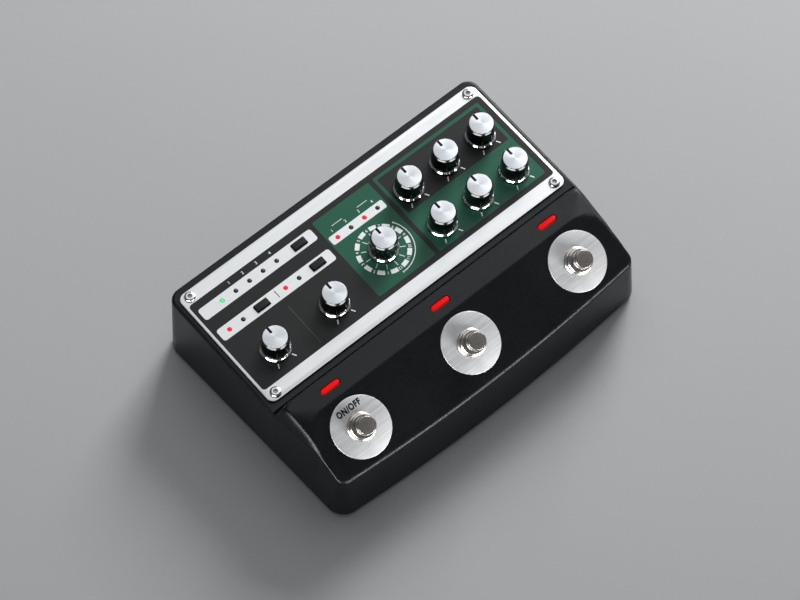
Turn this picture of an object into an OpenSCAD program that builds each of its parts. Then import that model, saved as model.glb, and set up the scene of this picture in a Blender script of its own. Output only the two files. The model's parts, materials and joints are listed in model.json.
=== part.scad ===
// Delay pedal for the floor: a die-cast case with a level control panel at the rear and a raised,
// forward-tilted pad with three footswitches at the front. Nine knobs turn, three plungers and three
// small buttons press. Millimetres, +Z up, +Y to the rear, floor at Z = 0.

/* [Case] */
// Width of the case at its base
case_w = 192; // [190:0.5:198]
// Depth of the case from the bowed front to the rear wall
case_d = 128.2; // [127.6:0.2:131.6]
// Height of the middle of the panel plate above the floor
panel_h = 41; // [40.5:0.5:44]
// Forward tilt of the control panel
panel_tilt = 1.5; // [1:0.25:2]
// Thickness of the cast walls
wall = 2.5; // [2.2:0.1:2.7]
// Height of the rubber feet
foot_h = 1.5; // [1.2:0.1:2]
// Radius of the bow of the front
bow_r = 1000; // [800:50:1400]

/* [Panel plate] */
// Distance from the side of the case's base to the side of the panel plate
plate_side = 6.7; // [6.4:0.1:7]
// Thickness of the panel plate
plate_t = 1.2; // [1:0.1:1.5]
// Width of the bare rim of the case behind the plate
rim_rear = 4.2; // [4:0.1:4.6]
// Width of the bare rim of the case in front of the plate
rim_front = 3.8; // [3.5:0.1:4.2]

/* [Footswitch pad] */
// Forward tilt of the pad
pad_tilt = 26; // [25:0.5:27]
// Distance of the pad's footswitch line behind the front of the case
pad_back = 21.25; // [20.6:0.05:21.6]
// Height of the footswitch line above the floor
pad_h = 38.2; // [37.8:0.2:40]
// Distance from the footswitch line to the rear edge of the pad
pad_rear = 17.2; // [16.8:0.2:17.6]
// Distance from the footswitch line to the front edge of the pad
pad_front = 20.4; // [20:0.2:20.6]
// Distance from the side of the case's base to the side of the pad
pad_side = 7.2; // [6.8:0.1:8]
// Depth of the terrace behind the pad, which holds the status lights
terrace_d = 12.1; // [11.6:0.1:12.6]
// Distance of the outer footswitches from the sides of the pad
switch_side = 23.5; // [22:0.1:25]
// Diameter of the silver discs
disc_d = 29.2; // [28:0.2:30]
// Diameter of a plunger
plunger_d = 9.2; // [8.8:0.1:9.4]
// Height of a plunger's top above the pad
plunger_rise = 9.8; // [9.4:0.1:11]
// Travel of a plunger
plunger_travel = 2.5; // [2:0.1:2.8]

/* [Knobs] */
// Diameter of the chrome ring at the foot of a knob
ring_d = 14.5; // [14.3:0.1:15]
// Diameter of the silver cap of a knob
cap_d = 11.5; // [11:0.1:11.6]
// Height of a knob's top above the plate
knob_h = 12.4; // [12:0.1:13.4]
// Diameter of the shafts
shaft_d = 6; // [5.8:0.05:6]
// Distance between two knobs of the group at the right
knob_pitch = 22.15; // [21.5:0.05:22.3]

/* [Panel buttons and lights] */
// Width of a panel button
button_w = 7.6; // [7.2:0.1:7.8]
// Depth of a panel button
button_d = 3.8; // [3.4:0.1:4]
// Height of a panel button above the plate
button_rise = 1.2; // [1:0.1:1.6]
// Travel of a panel button
button_travel = 0.35; // [0.25:0.05:0.4]
// Diameter of a panel light
light_d = 1.9; // [1.7:0.1:2]
// Distance between two lights
light_pitch = 8.03; // [7.8:0.01:8.1]

/* [Sockets] */
// Bore of the large sockets
phone_bore = 6.4; // [6.35:0.05:6.6]
// Bore of the small sockets
mini_bore = 3.6; // [3.5:0.05:3.8]
// Bore of the power socket
power_bore = 5.6; // [5.5:0.1:6]
// Height of the sockets above the floor
socket_h = 17.5; // [17:0.5:18.5]
// Distance of the socket nuts beyond the rear wall
socket_proud = 2.6; // [2.4:0.1:3]

/* [Hidden] */
$fn = 48;
// Clearances: round running fits, pressed parts, loose holes, sheet edges
run_gap = 0.06;
press_gap = 0.02;
hole_gap = 0.2;
edge_gap = 0.25;
thin = 0.02;

// Case frame
front_y = -(case_d + socket_proud) / 2;
rear_y = front_y + case_d;
inner_rear_y = rear_y - wall;
base_hw = case_w / 2;
front_taper = 3.8;
base_front_hw = base_hw - front_taper;
base_corner_r = 9;
base_z = foot_h;
floor_t = 1.5;
base_lip = 0.8;
edge_lip = 0.4;
ledge = 1.3;
groove = 1;
groove_h = 0.8;
groove_under = 0.2;

// Pad frame: the origin is the middle of the pad's footswitch line
pad_y = front_y + pad_back;
pad_hw = base_hw - pad_side;
pad_rear_r = 12;
pad_front_r = 5;
switch_pitch = pad_hw - switch_side;
switch_x = [for (i = [-1:1]) i * switch_pitch];

// Terrace frame: the origin is on the ridge between the pad and the terrace
ridge_y = pad_y + pad_rear * cos(pad_tilt);
ridge_z = pad_h + pad_rear * sin(pad_tilt);
lens_at = terrace_d / 2;
lens_l = 10.4;
lens_d = 2.8;
lens_flange_t = 1.2;
lens_flange_side = 1;
lens_rise = 0.4;
status_board_t = 1.2;
status_board_side = 0.8;
status_board_end = 2.8;

// The step from the terrace down to the panel
step_run = 2.4;
step_tuck = 1.5;
step_side = 3;
step_corner_r = 3;
terrace_rear_y = ridge_y + terrace_d * cos(panel_tilt);
terrace_rear_z = ridge_z + terrace_d * sin(panel_tilt);
crease_y = terrace_rear_y + step_run;

// Panel frame: the origin is the middle of the plate's top face
plate_w = case_w - 2 * plate_side;
plate_d = rear_y - rim_rear - crease_y - rim_front;
plate_hw = plate_w / 2;
panel_y = rear_y - rim_rear - plate_d / 2;
top_w = -plate_t;
inner_w = top_w - wall;
plateau_side = 4;
plateau_hw = base_hw - plateau_side;
plateau_corner_r = 6;
plate_corner_r = 4;
plateau_under = 1.2;
plateau_front = -plate_d / 2 - rim_front - plateau_under;
screw_d = 3;
screw_head_d = 5.6;
screw_flat_d = 3.7;
screw_head_h = 1.5;
screw_rim_h = 0.4;
screw_hex_d = 2.3;
screw_hex_h = 0.9;
screw_side = 5.05;
screw_end = 3.5;
screw_u = plate_hw - screw_side;
screw_v = plate_d / 2 - screw_end;
panel_screws_at = [for (u = [-1, 1], v = [-1, 1]) [u * screw_u, v * screw_v]];
crease_z = panel_h + (crease_y - panel_y) * tan(panel_tilt) + top_w / cos(panel_tilt);
step_h = terrace_rear_z - crease_z;
step_tilt = atan2(step_h, step_run);

// Controls on the panel, as [across, back] from the middle of the plate. The places across are shares of
// half the plate's width, so that the layout spreads over the plate.
knob_row_front = -14;
knob_row_rear = 10.1;
group_u = 0.3315 * plate_hw;
left_knob_u = -0.7885 * plate_hw;
next_knob_u = -0.3975 * plate_hw;
mode_spot = [0, -6.7];
pot_spots = [[left_knob_u, knob_row_front], [next_knob_u, knob_row_front],
    for (v = [knob_row_rear, knob_row_front], i = [0:2]) [group_u + i * knob_pitch, v]];
button_u = -0.317 * plate_hw;
light_row_rear = 20.2;
light_row_mid = 6.75;
light_row_head = 11.65;
bank_light_u = -0.8275 * plate_hw;
input_light_u = -0.9005 * plate_hw;
tape_light_u = -0.531 * plate_hw;
head_light_u = -0.1365 * plate_hw;
memory_spot = [button_u, light_row_rear];
input_spot = [-0.6875 * plate_hw, light_row_mid];
tape_spot = [button_u, light_row_mid];
bank_lights = [for (i = [0:4]) [bank_light_u + i * light_pitch, light_row_rear]];
head_lights = [for (i = [0:3]) [head_light_u + i * light_pitch, light_row_head]];
green_spots = [bank_lights[0]];
red_spots = [[input_light_u, light_row_mid], [tape_light_u, light_row_mid], head_lights[0], head_lights[2]];
dark_spots = [for (i = [1:4]) bank_lights[i], [input_light_u + light_pitch, light_row_mid],
    [tape_light_u + light_pitch, light_row_mid], head_lights[1], head_lights[3]];

// Potentiometers, rotary switch and main board
pot_h = 6.5;
pot_w = 10;
mode_body_d = 17;
bushing_d = 7.2;
bushing_rise = 3.4;
nut_af = 8.6;
nut_h = 2;
board_t = 1.6;
board_edge = 3.5;
board_hw = plate_hw - board_edge;
board_hd = plate_d / 2 - board_edge;
board_w_top = inner_w - pot_h;
shaft_foot = inner_w - 3;
shaft_top = knob_h - 2.6;
boss_side = 3.8;
boss_spots = [for (u = [-1, 1], v = [-1, 1]) [u * (board_hw - boss_side), v * (board_hd - boss_side)]];
boss_d = 6;
boss_sink = 0.5;
board_screw_d = 2.5;
board_screw_l = 4;
board_head_d = 4.6;
board_head_h = 1.6;
board_slot = [2.6, 0.6, 0.7];

// Knob profile, heights above the plate
ring_foot = 0.5;
ring_h = 2.2;
ring_r = ring_d / 2;
skirt_r = ring_r - 0.95;
body_foot_r = ring_r - 0.5;
body_top_r = cap_d / 2 + 0.6;
cap_r = cap_d / 2;
cap_t = 1.2;
rim_drop = 0.5;
knob_recess_r = nut_af / 2 / cos(30) + 0.4;
knob_recess_h = bushing_rise + 0.4;
notch_w = 1.2;
notch_l = 3.2;

// Footswitch, heights above the pad
disc_t = 0.8;
bushing_sw_d = 12;
bushing_sw_rise = 5.6;
collar_d = 13.8;
collar_t = 2.4;
inner_nut_t = 2.2;
inner_nut_af = 14.2;
seat_gap = 0.03;
switch_box = 18;
switch_box_h = 18;
switch_top_w = -wall - seat_gap - inner_nut_t;
plunger_foot = switch_top_w - 8;

// Panel button below the plate
tact = 6;
tact_h = 3.6;
flange_t = 0.8;
flange_side = 0.9;
flange_gap = 0.2;

// Sockets along the rear wall and the board under them. The sockets stand on a grid over the wall's width.
socket_grid = base_hw / 48;
phone_x = [for (i = [39.5, 29, 14, 3, -11]) i * socket_grid];
mini_x = [for (i = [-20.5, -26.5]) i * socket_grid];
usb_x = -33 * socket_grid;
power_x = -40.5 * socket_grid;
phone_body = [15, 22, 12.4];
phone_bushing_d = 9;
phone_nut_d = 13;
mini_body = [7, 14, 12.4];
mini_nose_d = 6;
power_body = [9.4, 14, 12.4];
power_nose_d = 8.6;
usb_body = [9, 8, 3.2];
usb_slot = [8, 2.2];
socket_board_t = 1.6;
socket_board_z = socket_h - phone_body[2] / 2;
socket_board_d = 26;
socket_board_side = 10;
socket_board_gap = 0.5;
usb_rest_side = 0.5;
header_w = 5;
header_edge = 1;
header_gap = 0.2;

// Floor plate fasteners and feet
floor_boss_r = 4;
floor_boss_h = 9;
floor_screw_d = 3;
floor_boss_web = 6;
floor_boss_side = 8;
floor_boss_gap = 1.5;
floor_head_d = 5.6;
floor_head_h = 0.9;
floor_slot = [2.8, 0.7, 0.5];
floor_screw_l = 6;
floor_rear_row = inner_rear_y - socket_board_d - floor_boss_r - floor_boss_gap;
floor_front_row = pad_y;
floor_screw_rows = [[base_front_hw - floor_boss_side, floor_front_row],
    [base_hw - floor_boss_side, (floor_front_row + floor_rear_row) / 2], [base_hw - floor_boss_side, floor_rear_row]];
floor_screws_at = [for (side = [-1, 1], row = floor_screw_rows) [side * row[0], row[1]]];
foot_d = 16;
foot_edge = 0.6;
foot_side = 22;
foot_front = 14;
foot_rear = 16;
feet_at = [for (x = [-1, 1], y = [front_y + foot_front, rear_y - foot_rear]) [x * (base_hw - foot_side), y]];

// Frames of the panel, the pad, the terrace and the rear wall
module on_panel(spot, w = 0) {
    translate([0, panel_y, panel_h]) rotate([panel_tilt, 0, 0]) translate([spot[0], spot[1], w]) children();
}

module on_pad(x, v = 0, w = 0) {
    translate([0, pad_y, pad_h]) rotate([pad_tilt, 0, 0]) translate([x, v, w]) children();
}

module on_terrace(x, back = 0, w = 0) {
    translate([0, ridge_y, ridge_z]) rotate([panel_tilt, 0, 0]) translate([x, back, w]) children();
}

module on_rear(x, out = 0) {
    translate([x, rear_y + out, socket_h]) rotate([-90, 0, 0]) children();
}

// Plan outlines: a rounded corner as points, and a bowed front edge as points
function corner(c, r, from) = [for (i = [0:9]) c + r * [cos(from + i * 10), sin(from + i * 10)]];
function bow(hw, y) = [for (i = [-5:5]) [i / 6 * hw, y + pow(i / 6 * hw, 2) / 2 / bow_r]];
function bow_end(hw, y) = y + pow(hw, 2) / 2 / bow_r;

module base_outline(inset) {
    hw = base_hw - inset;
    fw = base_front_hw - inset;
    r = base_corner_r - inset;
    y0 = front_y + inset;
    y1 = rear_y - inset;
    polygon(concat(
        corner([-fw + r, bow_end(fw - r, y0) + r], r, 180),
        bow(fw - r, y0),
        corner([fw - r, bow_end(fw - r, y0) + r], r, 270),
        corner([hw - r, y1 - r], r, 0),
        corner([-hw + r, y1 - r], r, 90)));
}

module plateau_outline(inset) {
    hw = plateau_hw - inset;
    r = plateau_corner_r - inset;
    y1 = (rear_y - inset - panel_y + (top_w - inset - edge_lip) * sin(panel_tilt)) / cos(panel_tilt);
    polygon(concat(
        [[-hw, plateau_front], [hw, plateau_front]],
        corner([hw - r, y1 - r], r, 0),
        corner([-hw + r, y1 - r], r, 90)));
}

module pad_outline(inset) {
    hw = pad_hw - inset;
    r = pad_rear_r - inset;
    fr = pad_front_r - inset;
    v0 = -pad_front + inset;
    v1 = pad_rear - inset * tan((pad_tilt - panel_tilt) / 2);
    polygon(concat(
        corner([-hw + fr, bow_end(hw - fr, v0) + fr], fr, 180),
        bow(hw - fr, v0),
        corner([hw - fr, bow_end(hw - fr, v0) + fr], fr, 270),
        corner([hw - r, v1 - r], r, 0),
        corner([-hw + r, v1 - r], r, 90)));
}

// The terrace behind the pad: the pad's rear edge in front, rounded corners at the rear
module terrace_outline(inset) {
    hw = plateau_hw - step_side - inset;
    r = step_corner_r;
    y0 = inset * tan((pad_tilt - panel_tilt) / 2);
    y1 = terrace_d - inset * tan((step_tilt + panel_tilt) / 2);
    fw = pad_hw - pad_rear_r;
    polygon(concat([[-fw, y0], [fw, y0]], corner([hw - r, y1 - r], r, 0), corner([-hw + r, y1 - r], r, 90)));
}

// The front end of the base, below the pad, up to a line just inside the sides
module front_base_outline(inset) {
    fw = base_front_hw - inset;
    r = base_corner_r - inset;
    y0 = front_y + inset;
    polygon(concat(
        corner([-fw + r, bow_end(fw - r, y0) + r], r, 180),
        bow(fw - r, y0),
        corner([fw - r, bow_end(fw - r, y0) + r], r, 270),
        [[fw - edge_lip, pad_y], [edge_lip - fw, pad_y]]));
}

// The rear block under the panel, and the raised block under the pad, joined at the case's width and depth.
// The step at the rear of the raised block runs on a little way below the panel.
module rear_block(inset, from_z) {
    hull() {
        translate([0, 0, from_z]) linear_extrude(base_lip) base_outline(inset);
        on_panel([0, 0], top_w - inset - edge_lip) linear_extrude(edge_lip) plateau_outline(inset);
    }
}

module front_block(inset, from_z) {
    hw = plateau_hw - inset - edge_lip;
    foot_y = crease_y + step_tuck / tan(step_tilt) - inset / sin(step_tilt);
    hull() {
        translate([0, 0, from_z]) linear_extrude(base_lip) front_base_outline(inset);
        on_pad(0, 0, -inset - edge_lip) linear_extrude(edge_lip) pad_outline(inset);
        on_terrace(0, 0, -inset - edge_lip) linear_extrude(edge_lip) terrace_outline(inset);
        translate([-hw, foot_y - 1, crease_z - step_tuck - 1]) cube([2 * hw, 1, 1]);
    }
}

module case_solid(inset, from_z) {
    resize([2 * (base_hw - inset), case_d - 2 * inset, 0]) {
        rear_block(inset, from_z);
        front_block(inset, from_z);
    }
}

// Holes that the controls, lights and sockets need
module panel_holes(grow) {
    depth = plate_t + wall + 2;
    for (spot = concat(pot_spots, [mode_spot]))
        on_panel(spot, inner_w - 1) cylinder(d = bushing_d + 2 * hole_gap, h = depth);
    for (spot = [memory_spot, input_spot, tape_spot])
        on_panel(spot, inner_w - 1) slab(button_w + 2 * grow, button_d + 2 * grow, depth);
    for (spot = concat(green_spots, red_spots, dark_spots))
        on_panel(spot, inner_w - 1) cylinder(d = light_d + 2 * grow, h = depth);
    for (spot = panel_screws_at)
        on_panel(spot, inner_w - 1) cylinder(d = screw_d + 2 * press_gap, h = depth);
}

module slab(w, d, h) {
    translate([-w / 2, -d / 2, 0]) cube([w, d, h]);
}

module stadium(l, d, h) {
    slab(l - d, d, h);
    for (side = [-1, 1]) translate([side * (l - d) / 2, 0, 0]) cylinder(d = d, h = h);
}

module top_case() {
    color([0.06, 0.06, 0.065]) difference() {
        union() {
            difference() {
                case_solid(0, base_z);
                case_solid(wall, base_z - thin);
                translate([0, 0, base_z - 1]) linear_extrude(1 + floor_t) base_outline(wall - ledge);
            }
            floor_bosses();
            board_bosses();
        }
        panel_holes(hole_gap);
        translate([-base_hw, crease_y - groove_under, crease_z - groove_h])
            cube([2 * base_hw, groove, 2 * groove_h]);
        for (x = switch_x) {
            on_pad(x, 0, -wall - 2) cylinder(d = bushing_sw_d + 2 * hole_gap, h = wall + 4);
            on_terrace(x, lens_at, -wall - 2) stadium(lens_l + hole_gap, lens_d + hole_gap, wall + 4);
        }
        rear_holes();
        for (at = floor_screws_at)
            translate([at[0], at[1], base_z]) cylinder(d = floor_screw_d + 2 * press_gap, h = floor_boss_h);
    }
}

module rear_holes() {
    depth = wall + 2;
    for (x = phone_x) on_rear(x, -wall - 1) cylinder(d = phone_bushing_d + 2 * hole_gap, h = depth);
    for (x = mini_x) on_rear(x, -wall - 1) cylinder(d = mini_nose_d + 2 * hole_gap, h = depth);
    on_rear(power_x, -wall - 1) cylinder(d = power_nose_d + 2 * hole_gap, h = depth);
    on_rear(usb_x, -wall - 1) slab(usb_body[0] + 2 * hole_gap, usb_body[2] + 2 * hole_gap, depth);
}

// Screw bosses along the side walls, each with a web into the wall
module floor_bosses() {
    for (at = floor_screws_at) translate([at[0], at[1], base_z + floor_t]) {
        cylinder(r = floor_boss_r, h = floor_boss_h);
        translate([at[0] > 0 ? 0 : -floor_boss_web, -floor_boss_r / 2, 0])
            cube([floor_boss_web, floor_boss_r, floor_boss_h]);
    }
}

// Posts from the underside of the case's top to the main board
module board_bosses() {
    for (spot = boss_spots) on_panel(spot, board_w_top) difference() {
        cylinder(d = boss_d, h = pot_h + boss_sink);
        translate([0, 0, -1]) cylinder(d = board_screw_d + 2 * press_gap, h = board_screw_l + 2);
    }
}

module bottom_plate() {
    color([0.12, 0.12, 0.13]) difference() {
        translate([0, 0, base_z]) linear_extrude(floor_t) base_outline(wall - ledge + edge_gap);
        for (at = floor_screws_at)
            translate([at[0], at[1], base_z - 1]) cylinder(d = floor_screw_d + 2 * press_gap, h = floor_t + 2);
    }
}

module bottom_screws() {
    color([0.35, 0.35, 0.37]) for (at = floor_screws_at) translate([at[0], at[1], base_z - floor_head_h]) difference() {
        union() {
            cylinder(d = floor_head_d, h = floor_head_h);
            cylinder(d = floor_screw_d, h = floor_head_h + floor_t + floor_screw_l);
        }
        for (turn = [0, 90]) rotate(turn) translate([0, 0, -floor_slot[2]]) slab(floor_slot[0], floor_slot[1], 2 * floor_slot[2]);
    }
}

module rubber_feet() {
    r = foot_d / 2;
    color([0.05, 0.05, 0.05]) for (at = feet_at) translate([at[0], at[1], 0])
        rotate_extrude() polygon([[0, 0], [r - foot_edge, 0], [r, foot_edge], [r, foot_h], [0, foot_h]]);
}

module panel_plate() {
    hw = plate_w / 2 - plate_corner_r;
    hd = plate_d / 2 - plate_corner_r;
    color([0.8, 0.81, 0.82]) difference() {
        on_panel([0, 0], top_w) {
            slab(plate_w, 2 * hd, plate_t);
            slab(2 * hw, plate_d, plate_t);
            for (u = [-hw, hw], v = [-hd, hd]) translate([u, v, 0]) cylinder(r = plate_corner_r, h = plate_t);
        }
        panel_holes(hole_gap);
    }
}

module panel_screws() {
    color([0.75, 0.75, 0.77]) for (spot = panel_screws_at) on_panel(spot) difference() {
        union() {
            rotate_extrude() polygon([[0, 0], [screw_head_d / 2, 0], [screw_head_d / 2, screw_rim_h],
                [screw_flat_d / 2, screw_head_h], [0, screw_head_h]]);
            translate([0, 0, -plate_t - wall]) cylinder(d = screw_d, h = plate_t + wall);
        }
        translate([0, 0, screw_head_h - screw_hex_h]) cylinder(d = screw_hex_d, h = 2 * screw_hex_h, $fn = 6);
    }
}

module main_board() {
    color([0.05, 0.28, 0.14]) on_panel([0, 0], board_w_top - board_t) difference() {
        slab(2 * board_hw, 2 * board_hd, board_t);
        for (spot = boss_spots)
            translate([spot[0], spot[1], -1]) cylinder(d = board_screw_d + 2 * press_gap, h = board_t + 2);
    }
}

module board_screws() {
    color([0.7, 0.7, 0.72]) for (spot = boss_spots) on_panel(spot, board_w_top - board_t - board_head_h) difference() {
        union() {
            cylinder(d = board_head_d, h = board_head_h);
            cylinder(d = board_screw_d, h = board_head_h + board_t + board_screw_l);
        }
        for (turn = [0, 90]) rotate(turn) translate([0, 0, -board_slot[2]]) slab(board_slot[0], board_slot[1], 2 * board_slot[2]);
    }
}

// A panel control below its knob: body, threaded bushing and the bore for the shaft
module control_body(spot, round_body) {
    on_panel(spot) difference() {
        union() {
            translate([0, 0, board_w_top]) {
                if (round_body) cylinder(d = mode_body_d, h = pot_h);
                else slab(pot_w, pot_w, pot_h);
            }
            translate([0, 0, inner_w - thin]) cylinder(d = bushing_d, h = bushing_rise - inner_w + thin);
        }
        translate([0, 0, shaft_foot - 0.2]) cylinder(d = shaft_d + 2 * run_gap, h = bushing_rise - shaft_foot + 1);
    }
}

module pot_bodies() {
    color([0.55, 0.56, 0.58]) for (spot = pot_spots) control_body(spot, false);
}

module selector_body() {
    color([0.15, 0.15, 0.16]) control_body(mode_spot, true);
}

module shaft_nuts() {
    color([0.7, 0.7, 0.7]) for (spot = concat(pot_spots, [mode_spot])) on_panel(spot) difference() {
        cylinder(r = nut_af / 2 / cos(30), h = nut_h, $fn = 6);
        translate([0, 0, -1]) cylinder(d = bushing_d + 2 * press_gap, h = nut_h + 2);
    }
}

// Knob pieces: the black body, the silver cap with the chrome ring, and the shaft
module knob(spot) {
    foot = ring_foot + 0.2;
    rim = knob_h - rim_drop;
    color([0.02, 0.02, 0.02]) on_panel(spot) difference() {
        rotate_extrude() polygon([
            [0, foot], [skirt_r, foot], [skirt_r, ring_foot + ring_h], [body_foot_r, ring_foot + ring_h],
            [body_top_r, rim - 0.7], [cap_r + press_gap, rim], [cap_r + press_gap, knob_h - cap_t], [0, knob_h - cap_t]]);
        translate([0, 0, foot - 1]) cylinder(r = knob_recess_r, h = knob_recess_h - foot + 1);
        translate([0, 0, foot - 1]) cylinder(d = shaft_d + 2 * press_gap, h = shaft_top + 0.1 - foot + 1);
    }
}

module trim(spot) {
    color([0.82, 0.83, 0.85]) on_panel(spot) {
        translate([0, 0, knob_h - cap_t]) difference() {
            cylinder(r = cap_r, h = cap_t);
            translate([-notch_w / 2, cap_r - notch_l, 0.5]) cube([notch_w, notch_l + 1, cap_t]);
        }
        rotate_extrude() polygon([
            [skirt_r + press_gap, ring_foot], [ring_r, ring_foot], [ring_r, ring_foot + 0.9],
            [body_foot_r + 0.1, ring_foot + ring_h], [skirt_r + press_gap, ring_foot + ring_h]]);
    }
}

module shaft(spot) {
    color([0.6, 0.6, 0.6]) on_panel(spot, shaft_foot) cylinder(d = shaft_d, h = shaft_top - shaft_foot);
}

// Footswitch pieces
module plunger(x) {
    edge = 0.7;
    r = plunger_d / 2;
    color([0.72, 0.71, 0.69]) on_pad(x) rotate_extrude() polygon([
        [0, plunger_foot], [r, plunger_foot], [r, plunger_rise - edge], [r - edge, plunger_rise], [0, plunger_rise]]);
}

module switch_bodies() {
    edge = 0.5;
    r = bushing_sw_d / 2;
    color([0.7, 0.69, 0.66]) for (x = switch_x) on_pad(x) difference() {
        union() {
            translate([0, 0, switch_top_w - switch_box_h]) slab(switch_box, switch_box, switch_box_h);
            rotate_extrude() polygon([
                [0, switch_top_w - thin], [r, switch_top_w - thin], [r, bushing_sw_rise - edge],
                [r - edge, bushing_sw_rise], [0, bushing_sw_rise]]);
        }
        translate([0, 0, plunger_foot - plunger_travel - 1.5])
            cylinder(d = plunger_d + 2 * run_gap, h = bushing_sw_rise - plunger_foot + plunger_travel + 3);
    }
}

module switch_nuts() {
    color([0.6, 0.6, 0.6]) for (x = switch_x) on_pad(x, 0, switch_top_w) difference() {
        cylinder(r = inner_nut_af / 2 / cos(30), h = inner_nut_t, $fn = 6);
        translate([0, 0, -1]) cylinder(d = bushing_sw_d + 2 * press_gap, h = inner_nut_t + 2);
    }
}

module switch_discs() {
    color([0.78, 0.79, 0.8]) for (x = switch_x) on_pad(x) difference() {
        cylinder(d = disc_d, h = disc_t);
        translate([0, 0, -1]) cylinder(d = bushing_sw_d + 2 * press_gap, h = disc_t + 2);
    }
}

module switch_collars() {
    r = collar_d / 2;
    color([0.75, 0.73, 0.68]) for (x = switch_x) on_pad(x, 0, disc_t) difference() {
        rotate_extrude() polygon([[0, 0], [r, 0], [r, collar_t - 0.5], [r - 0.5, collar_t], [0, collar_t]]);
        translate([0, 0, -1]) cylinder(d = bushing_sw_d + 2 * press_gap, h = collar_t + 2);
    }
}

module status_lenses() {
    color([0.85, 0.05, 0.05]) for (x = switch_x) on_terrace(x, lens_at, -wall) {
        stadium(lens_l, lens_d, wall + lens_rise);
        translate([0, 0, -lens_flange_t])
            slab(lens_l + 2 * lens_flange_side, lens_d + 2 * lens_flange_side, lens_flange_t);
    }
}

module status_board() {
    l = 2 * switch_pitch + lens_l + 2 * (lens_flange_side + status_board_end);
    d = lens_d + 2 * (lens_flange_side + status_board_side);
    color([0.05, 0.28, 0.14]) on_terrace(0, lens_at, -wall - lens_flange_t - status_board_t) slab(l, d, status_board_t);
}

// A panel button: cap, hidden flange and stem
module button(spot) {
    stem_foot = board_w_top + tact_h + button_travel + 0.1;
    flange_w = inner_w - flange_gap - flange_t;
    color([0.04, 0.04, 0.045]) on_panel(spot) {
        translate([0, 0, flange_w]) slab(button_w, button_d, button_rise - flange_w);
        translate([0, 0, flange_w]) slab(button_w + 2 * flange_side, button_d + 2 * flange_side, flange_t);
        translate([0, 0, stem_foot]) cylinder(d = 3, h = flange_w - stem_foot + thin);
    }
}

module button_switches() {
    color([0.1, 0.1, 0.1]) for (spot = [memory_spot, input_spot, tape_spot])
        on_panel(spot, board_w_top) slab(tact, tact, tact_h);
}

module lights(spots) {
    for (spot = spots) on_panel(spot, board_w_top) cylinder(d = light_d, h = -board_w_top + 0.1);
}

module green_light() {
    color([0.1, 0.9, 0.3]) lights(green_spots);
}

module red_lights() {
    color([0.9, 0.05, 0.1]) lights(red_spots);
}

module dark_lights() {
    color([0.15, 0.15, 0.16]) lights(dark_spots);
}

// A socket behind the rear wall: a box, a round nose through the wall and a blind bore
module socket(x, box, nose_d, nose_out, bore_d, bore_l) {
    on_rear(x) difference() {
        union() {
            translate([0, 0, -wall - box[1]]) slab(box[0], box[2], box[1]);
            translate([0, 0, -wall - thin]) cylinder(d = nose_d, h = wall + nose_out + thin);
        }
        translate([0, 0, nose_out - bore_l]) cylinder(d = bore_d, h = bore_l + 1);
    }
}

module phone_jacks() {
    bore_l = 22;
    color([0.12, 0.12, 0.12]) for (x = phone_x)
        socket(x, phone_body, phone_bushing_d, socket_proud, phone_bore, bore_l);
}

module jack_nuts() {
    nut_t = socket_proud - 0.6;
    r = phone_nut_d / 2;
    color([0.72, 0.72, 0.73]) for (x = phone_x) on_rear(x) difference() {
        rotate_extrude() polygon([[0, 0], [r, 0], [r, nut_t - 0.4], [r - 0.4, nut_t], [0, nut_t]]);
        translate([0, 0, -1]) cylinder(d = phone_bushing_d + 2 * press_gap, h = nut_t + 2);
    }
}

module mini_jacks() {
    bore_l = 14;
    color([0.1, 0.1, 0.1]) for (x = mini_x) socket(x, mini_body, mini_nose_d, 0, mini_bore, bore_l);
}

module power_socket() {
    bore_l = 10;
    pin_d = 2;
    color([0.1, 0.1, 0.1]) {
        socket(power_x, power_body, power_nose_d, 0, power_bore, bore_l);
        on_rear(power_x, -bore_l) cylinder(d = pin_d, h = bore_l - 1.5);
    }
}

module usb_socket() {
    color([0.7, 0.7, 0.72]) on_rear(usb_x) difference() {
        translate([0, 0, -wall - usb_body[1]]) slab(usb_body[0], usb_body[2], usb_body[1] + wall);
        translate([0, 0, -6]) slab(usb_slot[0], usb_slot[1], 7);
    }
}

// The board under the sockets, with the pin header up to the main board and a rest for the small socket
module socket_board() {
    board = 2 * (base_hw - socket_board_side);
    front = inner_rear_y - socket_board_d;
    header_x = (phone_x[2] + phone_x[3]) / 2;
    header_y = front + header_edge + header_w / 2;
    header_top = panel_h + (header_y - panel_y) * tan(panel_tilt) + (board_w_top - board_t) / cos(panel_tilt) - header_gap;
    rest_w = usb_body[0] - 2 * usb_rest_side;
    rest_h = phone_body[2] / 2 - usb_body[2] / 2;
    color([0.05, 0.28, 0.14]) {
        translate([-board / 2, front, socket_board_z - socket_board_t])
            cube([board, socket_board_d - socket_board_gap, socket_board_t]);
        translate([header_x, header_y, socket_board_z]) slab(header_w, header_w, header_top - socket_board_z);
        translate([usb_x - rest_w / 2, inner_rear_y - usb_body[1], socket_board_z])
            cube([rest_w, usb_body[1] - socket_board_gap, rest_h]);
    }
}

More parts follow.
